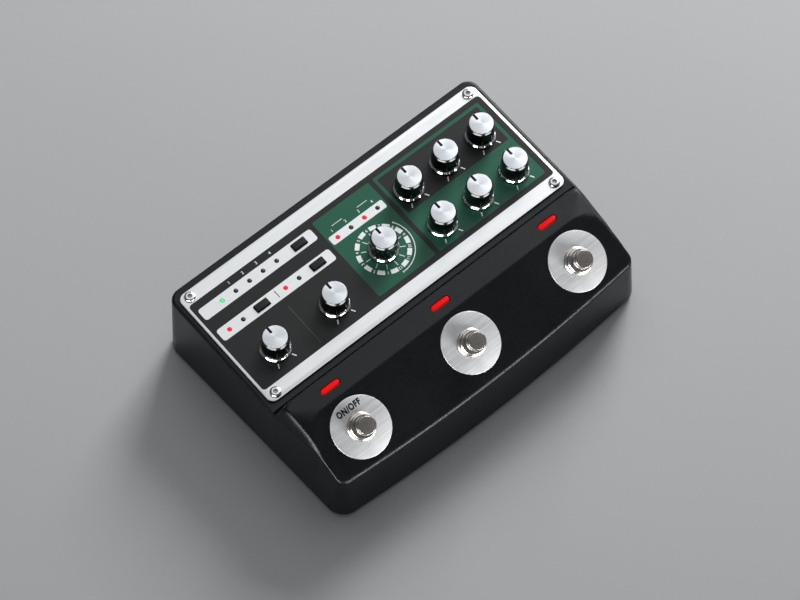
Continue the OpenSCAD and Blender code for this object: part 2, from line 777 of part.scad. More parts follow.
top_case();
bottom_plate();
bottom_screws();
rubber_feet();
panel_plate();
panel_screws();
main_board();
board_screws();
pot_bodies();
selector_body();
shaft_nuts();
plunger(switch_x[0]);  // left_plunger
plunger(switch_x[1]);  // middle_plunger
plunger(switch_x[2]);  // right_plunger
switch_bodies();
switch_nuts();
switch_discs();
switch_collars();
status_lenses();
status_board();
button(memory_spot);  // memory_button
button(input_spot);  // input_button
button(tape_spot);  // tape_button
button_switches();
green_light();
red_lights();
dark_lights();
phone_jacks();
jack_nuts();
mini_jacks();
usb_socket();
power_socket();
socket_board();
knob(pot_spots[0]);  // saturation_knob
trim(pot_spots[0]);  // saturation_trim
shaft(pot_spots[0]);  // saturation_shaft
knob(pot_spots[1]);  // wow_knob
trim(pot_spots[1]);  // wow_trim
shaft(pot_spots[1]);  // wow_shaft
knob(mode_spot);  // mode_knob
trim(mode_spot);  // mode_trim
shaft(mode_spot);  // mode_shaft
knob(pot_spots[2]);  // bass_knob
trim(pot_spots[2]);  // bass_trim
shaft(pot_spots[2]);  // bass_shaft
knob(pot_spots[3]);  // treble_knob
trim(pot_spots[3]);  // treble_trim
shaft(pot_spots[3]);  // treble_shaft
knob(pot_spots[4]);  // reverb_knob
trim(pot_spots[4]);  // reverb_trim
shaft(pot_spots[4]);  // reverb_shaft
knob(pot_spots[5]);  // repeat_knob
trim(pot_spots[5]);  // repeat_trim
shaft(pot_spots[5]);  // repeat_shaft
knob(pot_spots[6]);  // intensity_knob
trim(pot_spots[6]);  // intensity_trim
shaft(pot_spots[6]);  // intensity_shaft
knob(pot_spots[7]);  // echo_knob
trim(pot_spots[7]);  // echo_trim
shaft(pot_spots[7]);  // echo_shaft
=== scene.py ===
"""Delay pedal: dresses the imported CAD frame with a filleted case, a printed panel, turned knobs and lights."""
import json
import math

import bmesh
import bpy
from mathutils import Matrix, Vector

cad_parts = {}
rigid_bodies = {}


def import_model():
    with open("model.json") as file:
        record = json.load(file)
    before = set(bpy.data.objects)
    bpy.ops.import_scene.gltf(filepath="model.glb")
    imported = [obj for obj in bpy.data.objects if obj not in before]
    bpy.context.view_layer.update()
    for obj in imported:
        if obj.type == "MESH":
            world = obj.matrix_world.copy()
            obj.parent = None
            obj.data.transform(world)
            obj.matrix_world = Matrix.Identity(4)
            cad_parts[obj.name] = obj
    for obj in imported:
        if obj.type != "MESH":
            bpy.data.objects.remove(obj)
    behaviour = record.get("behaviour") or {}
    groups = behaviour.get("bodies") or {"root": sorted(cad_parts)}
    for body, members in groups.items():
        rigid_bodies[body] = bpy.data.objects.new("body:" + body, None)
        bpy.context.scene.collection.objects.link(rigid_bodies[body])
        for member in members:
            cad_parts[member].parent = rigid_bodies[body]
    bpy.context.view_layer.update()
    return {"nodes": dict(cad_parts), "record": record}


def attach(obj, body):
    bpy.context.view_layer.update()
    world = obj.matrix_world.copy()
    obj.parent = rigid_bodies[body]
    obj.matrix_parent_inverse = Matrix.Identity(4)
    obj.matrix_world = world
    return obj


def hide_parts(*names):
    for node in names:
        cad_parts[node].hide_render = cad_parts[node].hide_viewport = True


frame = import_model()
MM = 0.001
RECORD = frame["record"]

# -------------------- sizes of the part, in millimetres and degrees
CASE_W, CASE_D, SOCKET_PROUD, BASE_Z, WALL = 192.0, 128.2, 2.6, 1.5, 2.5
FRONT_TAPER, BASE_R, BOW_R = 3.8, 9.0, 1000.0
PAD_BACK, PAD_H, PAD_TILT, PAD_SIDE = 21.25, 38.2, 26.0, 7.2
PAD_REAR, PAD_FRONT, PAD_REAR_R, PAD_FRONT_R = 17.2, 20.4, 15.0, 5.0
PANEL_H, PANEL_TILT, RIM_REAR, RIM_FRONT = 41.0, 1.5, 4.2, 3.8
TERRACE_D, TERRACE_SIDE, STEP_RUN, STEP_CORNER_R = 12.1, 3.0, 2.4, 3.0
PLATE_SIDE, PLATE_T, PLATE_R, PLATE_ROUND = 6.7, 1.2, 4.0, 0.3
PLATEAU_SIDE, PLATEAU_R, PLATEAU_DRAW = 4.0, 6.0, 0.4
FRONT_FILLET, SIDE_FILLET, HIP_FILLET_GAIN, REAR_FILLET = 1.6, 1.4, 0.4, 1.7
EDGE_SOFT, HIP_SOFT, HIP_SOFT_FROM, HIP_SOFT_RUN, SHOULDER_BLEND = 0.55, 1.9, 81.0, 9.0, 6.0
GROOVE_HW, GROOVE_HD, GROOVE_BACK, GROOVE_DROP, GROOVE_H = 91.0, 0.6, 0.3, 2.2, 3.2

PAD_COS, PAD_SIN = math.cos(math.radians(PAD_TILT)), math.sin(math.radians(PAD_TILT))
PANEL_COS, PANEL_SIN = math.cos(math.radians(PANEL_TILT)), math.sin(math.radians(PANEL_TILT))
PANEL_TAN = math.tan(math.radians(PANEL_TILT))
FRONT_Y = -(CASE_D + SOCKET_PROUD) / 2
REAR_Y = FRONT_Y + CASE_D
BASE_HW = CASE_W / 2
BASE_FRONT_HW = BASE_HW - FRONT_TAPER
PAD_Y, PAD_HW = FRONT_Y + PAD_BACK, BASE_HW - PAD_SIDE
RIDGE_Y, RIDGE_Z = PAD_Y + PAD_REAR * PAD_COS, PAD_H + PAD_REAR * PAD_SIN
TERRACE_Y = RIDGE_Y + TERRACE_D * PANEL_COS
CREASE_Y = TERRACE_Y + STEP_RUN
PLATE_HW, PLATE_HD = BASE_HW - PLATE_SIDE, (REAR_Y - RIM_REAR - CREASE_Y - RIM_FRONT) / 2
PANEL_Y = REAR_Y - RIM_REAR - PLATE_HD
CREASE_Z = PANEL_H + (CREASE_Y - PANEL_Y) * PANEL_TAN - PLATE_T
PLATEAU_HW = BASE_HW - PLATEAU_SIDE
TERRACE_HW = PLATEAU_HW - TERRACE_SIDE

# footswitches, sockets and what stands on the panel; a slot is half width, half depth and corner radius
SWITCH_SIDE, SWITCH_HOLE_R, LENS_SLOT, LENS = 23.5, 6.15, (5.5, 1.75, 1.74), (5.05, 1.3, 1.29)
SWITCH_X = [i * (PAD_HW - SWITCH_SIDE) for i in (-1, 0, 1)]
SOCKET_Z, PHONE_X, MINI_X, USB_X, POWER_X = 17.5, (79.0, 58.0, 28.0, 6.0, -22.0), (-41.0, -53.0), -66.0, -81.0
PHONE_HOLE_R, MINI_HOLE_R, POWER_HOLE_R, USB_SLOT = 4.7, 3.2, 4.5, (4.7, 1.8, 0.3)
KNOB_HOLE_R, KEY_HW, KEY_HD, LIGHT_R, LIGHT_PITCH, HOLE_GAP = 3.8, 3.8, 1.9, 0.95, 8.03, 0.2
SCREW_HOLE_R, SCREW_SIDE, SCREW_END = 1.55, 5.05, 3.5
BANK_V, KEY_V, HEAD_V = 20.2, 6.75, 11.65
KNOBS = ("saturation", "wow", "mode", "bass", "treble", "reverb", "repeat", "intensity", "echo")


def tilted(y, z, degrees):
    """A frame on the middle plane, tilted about X, in metres."""
    return Matrix.Translation((0, y * MM, z * MM)) @ Matrix.Rotation(math.radians(degrees), 4, "X")


PANEL = tilted(PANEL_Y, PANEL_H, PANEL_TILT)
PAD = tilted(PAD_Y, PAD_H, PAD_TILT)
TERRACE = tilted(RIDGE_Y, RIDGE_Z, PANEL_TILT)


def at(matrix, u, v=0.0, w=0.0):
    """The frame moved to a spot given in millimetres."""
    return matrix @ Matrix.Translation((u * MM, v * MM, w * MM))


def spot(matrix, u, v, w=0.0):
    """A point of the frame in millimetres of the row frame."""
    return tuple(c / MM for c in matrix @ Vector((u * MM, v * MM, w * MM)))


def knob_spot(name):
    """Where a knob stands on the panel, from its joint, in millimetres across and back."""
    for joint in RECORD["behaviour"]["joints"]:
        if joint["name"] == name + "_turn":
            p = PANEL.inverted() @ Vector(joint["pos_m"])
            return p.x / MM, p.y / MM


HIP_Y = spot(PAD, 0, PAD_REAR - PAD_REAR_R)[1]
KNOB_AT = {name: knob_spot(name) for name in KNOBS}
BUTTON_AT = {"memory": (-0.317 * PLATE_HW, BANK_V), "input": (-0.6875 * PLATE_HW, KEY_V),
             "tape": (-0.317 * PLATE_HW, KEY_V)}


def light_row(share, v, n):
    """A row of lights that starts at a share of the plate's half width."""
    return [(share * PLATE_HW + i * LIGHT_PITCH, v) for i in range(n)]


BANK, HEAD = light_row(-0.8275, BANK_V, 5), light_row(-0.1365, HEAD_V, 4)
INPUT, TAPE = light_row(-0.9005, KEY_V, 2), light_row(-0.531, KEY_V, 2)
GREEN = [BANK[0]]
RED = [INPUT[0], TAPE[0], HEAD[0], HEAD[2]]
DARK = BANK[1:] + [INPUT[1], TAPE[1], HEAD[1], HEAD[3]]
SCREW_AT = [(u * (PLATE_HW - SCREW_SIDE), v * (PLATE_HD - SCREW_END)) for u in (-1, 1) for v in (-1, 1)]


# -------------------- materials
GRAIN_DEPTH, LINE_DEPTH, PAINT_DEPTH = 0.00002, 0.00001, 0.0001    # depths of the bumps, in metres
COAT_ROUGH, RING_SCALE, RING_STRENGTH = 0.08, 9000, 0.15
BRUSH_STRETCH, BRUSH_DETAIL, BRUSH_ROUGH, BRUSH_BLOTCH, BRUSH_SHARE, BRUSH_SPAN = 0.012, 4, 0.65, 45, 0.8, (0.6, 1.2)
LENS_ROUGH, LENS_SPECULAR, LENS_GRAIN, LENS_DIM, LENS_EDGE = 0.25, 0.12, 500, 0.9, 0.35
PAINT_SPECULAR, PAINT_GRAIN, PAINT_BLOTCH, PAINT_SHARE, PAINT_STRENGTH = 0.3, 1700, 35, 0.5, 0.9
PAINT_DARK, PAINT_LIGHT = (0.003, 0.0042, 0.0068), (0.0048, 0.0062, 0.0094)
PAINT_ROUGH, PAINT_SPAN = (0.26, 0.38), (0.5, 1.0)


def shader(name):
    """A new material with its Principled shader."""
    m = bpy.data.materials.new(name)
    m.use_nodes = True
    return m, m.node_tree.nodes, m.node_tree.links, m.node_tree.nodes["Principled BSDF"]


def fill(node, **values):
    """Sets inputs of a node; an underscore stands for a space of the input's name."""
    for key, value in values.items():
        node.inputs[key.replace("_", " ")].default_value = value


def noise(nodes, links, scale, stretch=(1, 1, 1), detail=3.0, rough=0.55):
    """Noise on object coordinates, stretched along an axis."""
    tc, mp, n = (nodes.new("ShaderNode" + kind) for kind in ("TexCoord", "Mapping", "TexNoise"))
    fill(mp, Scale=stretch)
    fill(n, Scale=scale, Detail=detail, Roughness=rough)
    links.new(tc.outputs["Object"], mp.inputs["Vector"])
    links.new(mp.outputs["Vector"], n.inputs["Vector"])
    return n.outputs["Fac"]


def blend(nodes, links, value, factor, other):
    """A noise value times a factor, plus another value."""
    mix = nodes.new("ShaderNodeMath")
    mix.operation = "MULTIPLY_ADD"
    links.new(value, mix.inputs[0])
    mix.inputs[1].default_value = factor
    links.new(other, mix.inputs[2])
    return mix.outputs[0]


def span(nodes, links, value, low, high, a=0.3, b=0.7):
    """The noise value mapped to a range."""
    r = nodes.new("ShaderNodeMapRange")
    fill(r, From_Min=a, From_Max=b, To_Min=low, To_Max=high)
    links.new(value, r.inputs["Value"])
    return r.outputs["Result"]


def tint(nodes, links, value, a, b, start=0.3, end=0.7):
    """The noise value as a colour between two."""
    r = nodes.new("ShaderNodeValToRGB")
    for element, position, colour in zip(r.color_ramp.elements, (start, end), (a, b)):
        element.position = position
        element.color = (*colour, 1)
    links.new(value, r.inputs["Fac"])
    return r.outputs["Color"]


def bump(nodes, links, p, value, strength, distance):
    """Bump from a noise value on the shader."""
    b = nodes.new("ShaderNodeBump")
    fill(b, Strength=strength, Distance=distance)
    links.new(value, b.inputs["Height"])
    links.new(b.outputs["Normal"], p.inputs["Normal"])


def finish_of(name, a, b, rough, metal=0.0, scale=900.0, stretch=(1, 1, 1), strength=0.1, coat=0.0, specular=0.5,
              blotch=60.0):
    """A material with slow colour variation, and a fine grain in its gloss and its surface."""
    m, nodes, links, p = shader(name)
    fill(p, Metallic=metal, Coat_Weight=coat, Coat_Roughness=COAT_ROUGH, Specular_IOR_Level=specular)
    slow = noise(nodes, links, blotch)
    fine = noise(nodes, links, scale, stretch)
    links.new(tint(nodes, links, slow, a, b), p.inputs["Base Color"])
    links.new(span(nodes, links, fine, *rough), p.inputs["Roughness"])
    bump(nodes, links, p, fine, strength, GRAIN_DEPTH)
    return m


def brushed(name, a, b, rough, strength, aniso, coarse=4200.0):
    """Brushed sheet metal with the lines along the object's X axis, and the highlight drawn out across them."""
    m, nodes, links, p = shader(name)
    fill(p, Metallic=1.0, Anisotropic=aniso)
    lines = noise(nodes, links, coarse, (BRUSH_STRETCH, 1, 1), BRUSH_DETAIL, BRUSH_ROUGH)
    mix = blend(nodes, links, lines, BRUSH_SHARE, noise(nodes, links, BRUSH_BLOTCH))
    links.new(tint(nodes, links, lines, a, b), p.inputs["Base Color"])
    links.new(span(nodes, links, mix, *rough, *BRUSH_SPAN), p.inputs["Roughness"])
    across = nodes.new("ShaderNodeVectorTransform")
    across.vector_type, across.convert_from, across.convert_to = "VECTOR", "OBJECT", "WORLD"
    fill(across, Vector=(0, 1, 0))
    links.new(across.outputs["Vector"], p.inputs["Tangent"])
    bump(nodes, links, p, lines, strength, LINE_DEPTH)
    return m


def spun(name, a, b, rough, aniso):
    """A turned face: fine rings round the object's Z axis, with the highlight drawn out across them."""
    m, nodes, links, p = shader(name)
    fill(p, Metallic=1.0, Anisotropic=aniso)
    tc = nodes.new("ShaderNodeTexCoord")
    flat, length = nodes.new("ShaderNodeVectorMath"), nodes.new("ShaderNodeVectorMath")
    flat.operation, length.operation = "MULTIPLY", "LENGTH"
    flat.inputs[1].default_value = (1, 1, 0)
    links.new(tc.outputs["Object"], flat.inputs[0])
    links.new(flat.outputs["Vector"], length.inputs[0])
    n = nodes.new("ShaderNodeTexNoise")
    n.noise_dimensions = "1D"
    fill(n, Scale=RING_SCALE, Detail=3)
    links.new(length.outputs["Value"], n.inputs["W"])
    tangent = nodes.new("ShaderNodeTangent")
    tangent.direction_type, tangent.axis = "RADIAL", "Z"
    links.new(tangent.outputs["Tangent"], p.inputs["Tangent"])
    rings = n.outputs["Fac"]
    links.new(tint(nodes, links, rings, a, b), p.inputs["Base Color"])
    links.new(span(nodes, links, rings, *rough), p.inputs["Roughness"])
    bump(nodes, links, p, rings, RING_STRENGTH, LINE_DEPTH)
    return m


def lit(name, colour, core, strength):
    """A lit lens: a coloured clear plastic that glows, brighter towards its middle."""
    m, nodes, links, p = shader(name)
    fill(p, Roughness=LENS_ROUGH, Specular_IOR_Level=LENS_SPECULAR, Emission_Strength=strength)
    dim = tuple(c * LENS_DIM for c in colour)
    links.new(tint(nodes, links, noise(nodes, links, LENS_GRAIN), colour, dim), p.inputs["Base Color"])
    face = nodes.new("ShaderNodeLayerWeight")
    fill(face, Blend=LENS_EDGE)
    glow = tint(nodes, links, face.outputs["Facing"], core, colour, 0.0, 1.0)
    links.new(glow, p.inputs["Emission Color"])
    return m


def case_paint():
    """Fine-textured satin black powder coat."""
    m, nodes, links, p = shader("case_paint")
    fill(p, Specular_IOR_Level=PAINT_SPECULAR)
    grain = noise(nodes, links, PAINT_GRAIN, detail=2, rough=0.5)
    slow = noise(nodes, links, PAINT_BLOTCH, rough=0.6)
    mix = blend(nodes, links, slow, PAINT_SHARE, grain)
    links.new(tint(nodes, links, slow, PAINT_DARK, PAINT_LIGHT), p.inputs["Base Color"])
    links.new(span(nodes, links, mix, *PAINT_ROUGH, *PAINT_SPAN), p.inputs["Roughness"])
    bump(nodes, links, p, grain, PAINT_STRENGTH, PAINT_DEPTH)
    return m


def ink(name, a, b, rough=(0.36, 0.46), metal=0.0, strength=0.05, specular=0.5):
    """A printed ink, or another thin flat coat."""
    return finish_of(name, a, b, rough, metal, scale=1500, strength=strength, specular=specular)


def plated(name, a, b, rough, scale=1300, strength=0.06):
    """A plated or bare metal."""
    return finish_of(name, a, b, rough, 1.0, scale=scale, strength=strength)


CASE = case_paint()
PLATE = brushed("plate_metal", (0.74, 0.74, 0.74), (0.86, 0.86, 0.855), (0.3, 0.42), 0.16, 0.3)
# A near-black coat for the plate's upright sides: painted shadow standing for the shade line under the plate's edge.
PLATE_EDGE_SHADOW = ink("plate_edge_painted_shadow", (0.01, 0.01, 0.011), (0.016, 0.016, 0.017), (0.45, 0.55), strength=0.06, specular=0.25)
DISC_METAL = brushed("disc_metal", (0.6, 0.6, 0.6), (0.8, 0.8, 0.795), (0.34, 0.46), 0.4, 0.42, 2600.0)
INK_BLACK = ink("ink_black", (0.0052, 0.0054, 0.006), (0.0075, 0.0078, 0.0084), specular=0.36)
INK_GREEN = ink("ink_green", (0.005, 0.145, 0.076), (0.0065, 0.165, 0.088), specular=0.36)
INK_DIM = ink("ink_dim_green", (0.008, 0.06, 0.04), (0.01, 0.07, 0.046), (0.4, 0.5))
INK_WHITE = ink("ink_silver", (0.86, 0.87, 0.87), (0.92, 0.93, 0.93), (0.36, 0.44), 0.6, 0.03)
INK_TEXT = ink("ink_text", (0.005, 0.005, 0.005), (0.008, 0.008, 0.008), (0.5, 0.6), specular=0.15)
KNOB_BODY = finish_of("knob_body", (0.0045, 0.0045, 0.005), (0.007, 0.007, 0.0075), (0.16, 0.22), scale=500,
                      strength=0.01, coat=0.3)
KNOB_CAP = spun("knob_cap", (0.56, 0.575, 0.6), (0.67, 0.685, 0.71), (0.28, 0.38), 0.6)
KNOB_RING = plated("knob_ring", (0.8, 0.8, 0.81), (0.88, 0.88, 0.89), (0.05, 0.1), 900, 0.01)
SHAFT = finish_of("shaft_steel", (0.5, 0.5, 0.5), (0.6, 0.6, 0.6), (0.25, 0.35), 1.0, 1500, (1, 1, 0.05), 0.1)
NICKEL = plated("nickel_plate", (0.56, 0.53, 0.49), (0.66, 0.63, 0.59), (0.16, 0.26))
PLUNGER_TOP = spun("plunger_top", (0.36, 0.32, 0.29), (0.44, 0.4, 0.365), (0.26, 0.34), 0.1)
CHROME = plated("screw_chrome", (0.74, 0.74, 0.75), (0.84, 0.84, 0.85), (0.1, 0.18), strength=0.05)
# The hex recess gets a darker metal than the chrome: painted shade in the hollow of the screw head.
RECESS = plated("screw_recess_painted_shade", (0.3, 0.3, 0.3), (0.4, 0.4, 0.4), (0.3, 0.4), strength=0.05)
KEY = finish_of("key_plastic", (0.006, 0.006, 0.0065), (0.009, 0.009, 0.0095), (0.3, 0.4), scale=1800, strength=0.08,
                specular=0.3)
LENS_RED = lit("lens_red", (0.3, 0.001, 0.001), (0.8, 0.003, 0.003), 0.85)
LIGHT_RED = lit("light_red", (0.6, 0.006, 0.015), (1.0, 0.02, 0.045), 1.0)
LIGHT_GREEN = lit("light_green", (0.02, 0.5, 0.12), (0.1, 0.95, 0.26), 0.95)
LIGHT_DARK = finish_of("light_dark", (0.03, 0.03, 0.032), (0.045, 0.045, 0.047), (0.15, 0.25), scale=800,
                       strength=0.03, coat=0.3)
FLOOR_SHEET = finish_of("floor_sheet", (0.012, 0.012, 0.013), (0.017, 0.017, 0.018), (0.4, 0.52), scale=1700,
                        strength=0.12)
RUBBER = finish_of("foot_rubber", (0.012, 0.012, 0.012), (0.02, 0.02, 0.02), (0.7, 0.85), scale=1600, strength=0.25)
ZINC = plated("zinc_screw", (0.36, 0.36, 0.38), (0.46, 0.46, 0.48), (0.25, 0.38))
BOARD = finish_of("board_green", (0.012, 0.09, 0.04), (0.018, 0.12, 0.055), (0.3, 0.42), strength=0.05)
TIN = plated("pot_tin", (0.5, 0.5, 0.51), (0.62, 0.62, 0.63), (0.28, 0.4), 1100)
PLASTIC = finish_of("socket_plastic", (0.009, 0.009, 0.0095), (0.014, 0.014, 0.015), (0.36, 0.5), scale=1500)


# -------------------- mesh helpers
MERGE, ON_AXIS, MOST_CUT = 1e-8, 1e-6, 0.49    # metres, millimetres and a share of a profile's side


def finished(me, sharp, *materials):
    """A mesh with its materials, smooth shaded, with sharp edges above an angle in degrees."""
    for m in materials:
        me.materials.append(m)
    me.shade_smooth()
    me.set_sharp_from_angle(angle=math.radians(sharp))
    return me


def linked(name, data):
    """A new object in the scene."""
    o = bpy.data.objects.new(name, data)
    bpy.context.scene.collection.objects.link(o)
    return o


def dress(o, body, replaces=()):
    """Rides and replaced nodes of a piece."""
    bpy.context.view_layer.update()
    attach(o, body)
    if replaces:
        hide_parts(*replaces)


def placed(name, me, matrix, body, replaces=()):
    """A piece of a finished mesh on its body."""
    o = linked(name, me)
    o.matrix_world = matrix
    dress(o, body, replaces)
    return o


def mesh_of(bm, name):
    """The bmesh as a new mesh with its faces facing out."""
    bmesh.ops.remove_doubles(bm, verts=bm.verts, dist=MERGE)
    bmesh.ops.recalc_face_normals(bm, faces=bm.faces)
    me = bpy.data.meshes.new(name)
    bm.to_mesh(me)
    bm.free()
    return me


def rounded(points, n=4):
    """A profile whose points (x, y, radius) are rounded with arcs; the ends stay as they are."""
    out = []
    last = len(points) - 1
    for i, p in enumerate(points):
        r = p[2] if len(p) > 2 else 0.0
        if r <= 0 or i in (0, last):
            out.append((p[0], p[1]))
            continue
        c, a, b = Vector(p[:2]), Vector(points[i - 1][:2]), Vector(points[i + 1][:2])
        da, db = (a - c).normalized(), (b - c).normalized()
        half = da.angle(db) / 2
        run = min(r / math.tan(half), MOST_CUT * (a - c).length, MOST_CUT * (b - c).length)
        r = run * math.tan(half)
        mid = c + (da + db).normalized() * (r / math.sin(half))
        s, e = c + da * run - mid, c + db * run - mid
        turn = s.angle_signed(e)
        for k in range(n + 1):
            t = -turn * k / n
            out.append((mid.x + s.x * math.cos(t) - s.y * math.sin(t), mid.y + s.x * math.sin(t) + s.y * math.cos(t)))
    return out


def lathe(bm, profile, steps=96, loop=False, material=lambda i: 0, shape=None):
    """Turns a profile of (radius, height) in millimetres round Z.

    A loop closes on itself, otherwise the profile's ends lie on the axis."""
    rings = []
    for i, (r, z) in enumerate(profile):
        if r < ON_AXIS:
            rings.append([bm.verts.new((0, 0, z * MM))])
            continue
        ring = []
        for k in range(steps):
            t = 2 * math.pi * k / steps
            q = r * (shape(i, t) if shape else 1.0)
            ring.append(bm.verts.new((q * math.cos(t) * MM, q * math.sin(t) * MM, z * MM)))
        rings.append(ring)
    pairs = list(zip(rings, rings[1:])) + ([(rings[-1], rings[0])] if loop else [])
    for i, (a, b) in enumerate(pairs):
        for k in range(steps):
            j = (k + 1) % steps
            if len(a) == 1 and len(b) == 1:
                continue
            if len(a) == 1:
                f = bm.faces.new((a[0], b[j], b[k]))
            elif len(b) == 1:
                f = bm.faces.new((a[k], a[j], b[0]))
            else:
                f = bm.faces.new((a[k], a[j], b[j], b[k]))
            f.material_index = material(i)


def turned(name, profile, steps=96, loop=False, material=lambda i: 0, shape=None):
    """A turned mesh."""
    bm = bmesh.new()
    lathe(bm, profile, steps, loop, material, shape)
    return mesh_of(bm, name)


def arc(cx, cy, r, start, n=10):
    """Points of a quarter circle from a start in degrees."""
    turns = [math.radians(start + 90.0 * i / n) for i in range(n + 1)]
    return [(cx + r * math.cos(t), cy + r * math.sin(t)) for t in turns]


def round_rect(u0, v0, u1, v1, r, n=8):
    """A rectangle with rounded corners, counterclockwise."""
    corners = ((u1 - r, v1 - r, 0), (u0 + r, v1 - r, 90), (u0 + r, v0 + r, 180), (u1 - r, v0 + r, 270))
    return [p for u, v, start in corners for p in arc(u, v, r, start, n)]


def centred(hw, hd, r, n=8):
    """A rounded rectangle round the origin, from its half width and half depth."""
    return round_rect(-hw, -hd, hw, hd, r, n)


def circle(u, v, r, n=32):
    """A circle as points."""
    return [(u + r * math.cos(2 * math.pi * i / n), v + r * math.sin(2 * math.pi * i / n)) for i in range(n)]


def prism(bm, outline, z0, z1, edge=0.0, steps=3):
    """A straight prism on an outline in millimetres, with a rounded top edge drawn in by edge."""
    n = len(outline)
    normals = []
    for i in range(n):
        d = (Vector(outline[(i + 1) % n]) - Vector(outline[i - 1])).normalized()
        normals.append((-d.y, d.x))
    levels = [(0.0, z1)]
    if edge > 0:
        turns = [math.pi / 2 * k / steps for k in range(steps + 1)]
        levels = [(edge * (1 - math.cos(t)), z1 - edge + edge * math.sin(t)) for t in turns]
    rings = [[bm.verts.new((x * MM, y * MM, z0 * MM)) for x, y in outline]]
    for inset, z in levels:
        rings.append([bm.verts.new(((x + nx * inset) * MM, (y + ny * inset) * MM, z * MM))
                      for (x, y), (nx, ny) in zip(outline, normals)])
    for a, b in zip(rings, rings[1:]):
        for i in range(n):
            j = (i + 1) % n
            bm.faces.new((a[i], a[j], b[j], b[i]))
    bm.faces.new(list(reversed(rings[0])))
    bm.faces.new(rings[-1])


def block(name, outline, z0, z1, edge=0.0, steps=3):
    """A prism as a mesh."""
    bm = bmesh.new()
    prism(bm, outline, z0, z1, edge, steps)
    return mesh_of(bm, name)


def baked(o):
    """The mesh of an object with its modifiers applied."""
    bpy.context.view_layer.update()
    graph = bpy.context.evaluated_depsgraph_get()
    return bpy.data.meshes.new_from_object(o.evaluated_get(graph), preserve_all_data_layers=True, depsgraph=graph)


def cut(o, cutter_mesh):
    """Cuts the closed meshes of a cutter out of an object and keeps the result as its mesh."""
    c = linked("cutter", cutter_mesh)
    mod = o.modifiers.new("holes", "BOOLEAN")
    mod.operation = "DIFFERENCE"
    mod.solver = "EXACT"
    mod.object = c
    me = baked(o)
    o.modifiers.clear()
    o.data = me
    bpy.data.objects.remove(c)


# -------------------- case
def even(start, end, n):
    """Even steps after the start, up to the end."""
    return [start + (end - start) * (i + 1) / n for i in range(n)]


HIP_SEGMENTS, STEP_SEGMENTS, FRONT_SEGMENTS, REAR_SEGMENTS, BASE_SEGMENTS = 14, 6, 16, 14, 8
FRONT_SHARES = [0.0] + even(0, 0.83, 16) + even(0.83, 0.96, 9) + even(0.96, 1.0, 4)    # denser towards the corner
PAD_ROWS, HIP_ROWS, TERRACE_ROWS, REAR_SIDE_ROWS, REAR_ROWS, BASE_ROWS = 10, 8, 8, 10, 8, 12
FOLD_ROWS = (-1.2, -0.8, -0.5, -0.25, 0.0, 0.25, 0.5, 0.8, 1.2)     # rows of points before and after a fold
CREASE_ROWS = (-0.8, -0.4, 0.0)
FOLD_REACH, BOW_FADE, BLEND_STEPS, SOFT_RINGS = 2.0, 4.0, 4, 3
BASE_BEVEL, WALL_ROWS, FILLET_ROWS = 0.5, (0.35, 0.7), (0, 0.14, 0.28, 0.42, 0.56, 0.7, 0.85, 1)
FLOOR_INSET, FLOOR_CUT = 1.2, (1.0, 3.1)
HOLLOW_HW, HOLLOW_FRONT, HOLLOW_DROP, HOLLOW_OVERLAP, HOLLOW_STEP, HOLLOW_EDGE = 84, 9.5, 3.0, 3, 3.4, 1.6
CREASE_GAP, REAR_GAP, REAR_HOLLOW_HW, REAR_HOLLOW_R, REAR_HOLLOW_LOW, WINDOW = 2, 1, 89, 5, -45, (86, 31, 3)
PAD_CUT, LENS_CUT, REAR_CUT, SWITCH_SIDES, SOCKET_SIDES, GROOVE_R = (-6, 4), (-5, 4), (-5, 3), 64, 48, 0.1
CASE_SHARP, NORMAL_WEIGHT = 32, 60


def bow(x, y):
    """The bowed front: a circle of a large radius, as its parabola."""
    return y + x * x / 2 / BOW_R


CORNER_Y = bow(BASE_FRONT_HW - BASE_R, FRONT_Y) + BASE_R


def plane(p, q, r):
    """Slopes and height of the plane z = a x + b y + c through three points."""
    p, q, r = Vector(p), Vector(q), Vector(r)
    n = (q - p).cross(r - p)
    return -n.x / n.z, -n.y / n.z, p.z + (n.x * p.x + n.y * p.y) / n.z


def front_planes():
    """The planes whose lowest envelope is the top of the raised front: pad, terrace, step, hips and rounded corners."""
    hip_arc = arc(PAD_HW - PAD_REAR_R, PAD_REAR - PAD_REAR_R, PAD_REAR_R, 0, HIP_SEGMENTS)
    end_arc = arc(TERRACE_HW - STEP_CORNER_R, TERRACE_D - STEP_CORNER_R, STEP_CORNER_R, 0, STEP_SEGMENTS)
    hip, end = [spot(PAD, *p) for p in hip_arc], [spot(TERRACE, *p) for p in end_arc]
    corner = (PLATEAU_HW, CREASE_Y, CREASE_Z)
    out = [plane(spot(m, 0, 0), spot(m, 1, 0), spot(m, 0, 1)) for m in (PAD, TERRACE)]
    out.append(plane(spot(TERRACE, 0, TERRACE_D), spot(TERRACE, 1, TERRACE_D), (0, CREASE_Y, CREASE_Z)))
    out.append(plane(hip[0], corner, end[0]))
    out += [plane(end[0], p, q) for p, q in zip(hip, hip[1:])]
    return out + [plane(corner, p, q) for p, q in zip(end, end[1:])]


PLANES = front_planes()
SOFT_DISC = [(0.0, 0.0)]
for ring in range(1, SOFT_RINGS + 1):
    for turn in [2 * math.pi * i / (6 * ring) + ring for i in range(6 * ring)]:
        SOFT_DISC.append((ring / SOFT_RINGS * math.cos(turn), ring / SOFT_RINGS * math.sin(turn)))


def hard_height(x, y):
    """Height of the raised front with sharp edges."""
    return min(a * abs(x) + b * y + c for a, b, c in PLANES)


def front_height(x, y):
    """Height of the raised front, its edges rounded by averaging over a small disc that widens towards the hips."""
    k = min(max((abs(x) - HIP_SOFT_FROM) / HIP_SOFT_RUN, 0.0), 1.0)
    r = EDGE_SOFT + HIP_SOFT * k * k * (3 - 2 * k)
    return sum(hard_height(x + r * dx, y + r * dy) for dx, dy in SOFT_DISC) / len(SOFT_DISC)


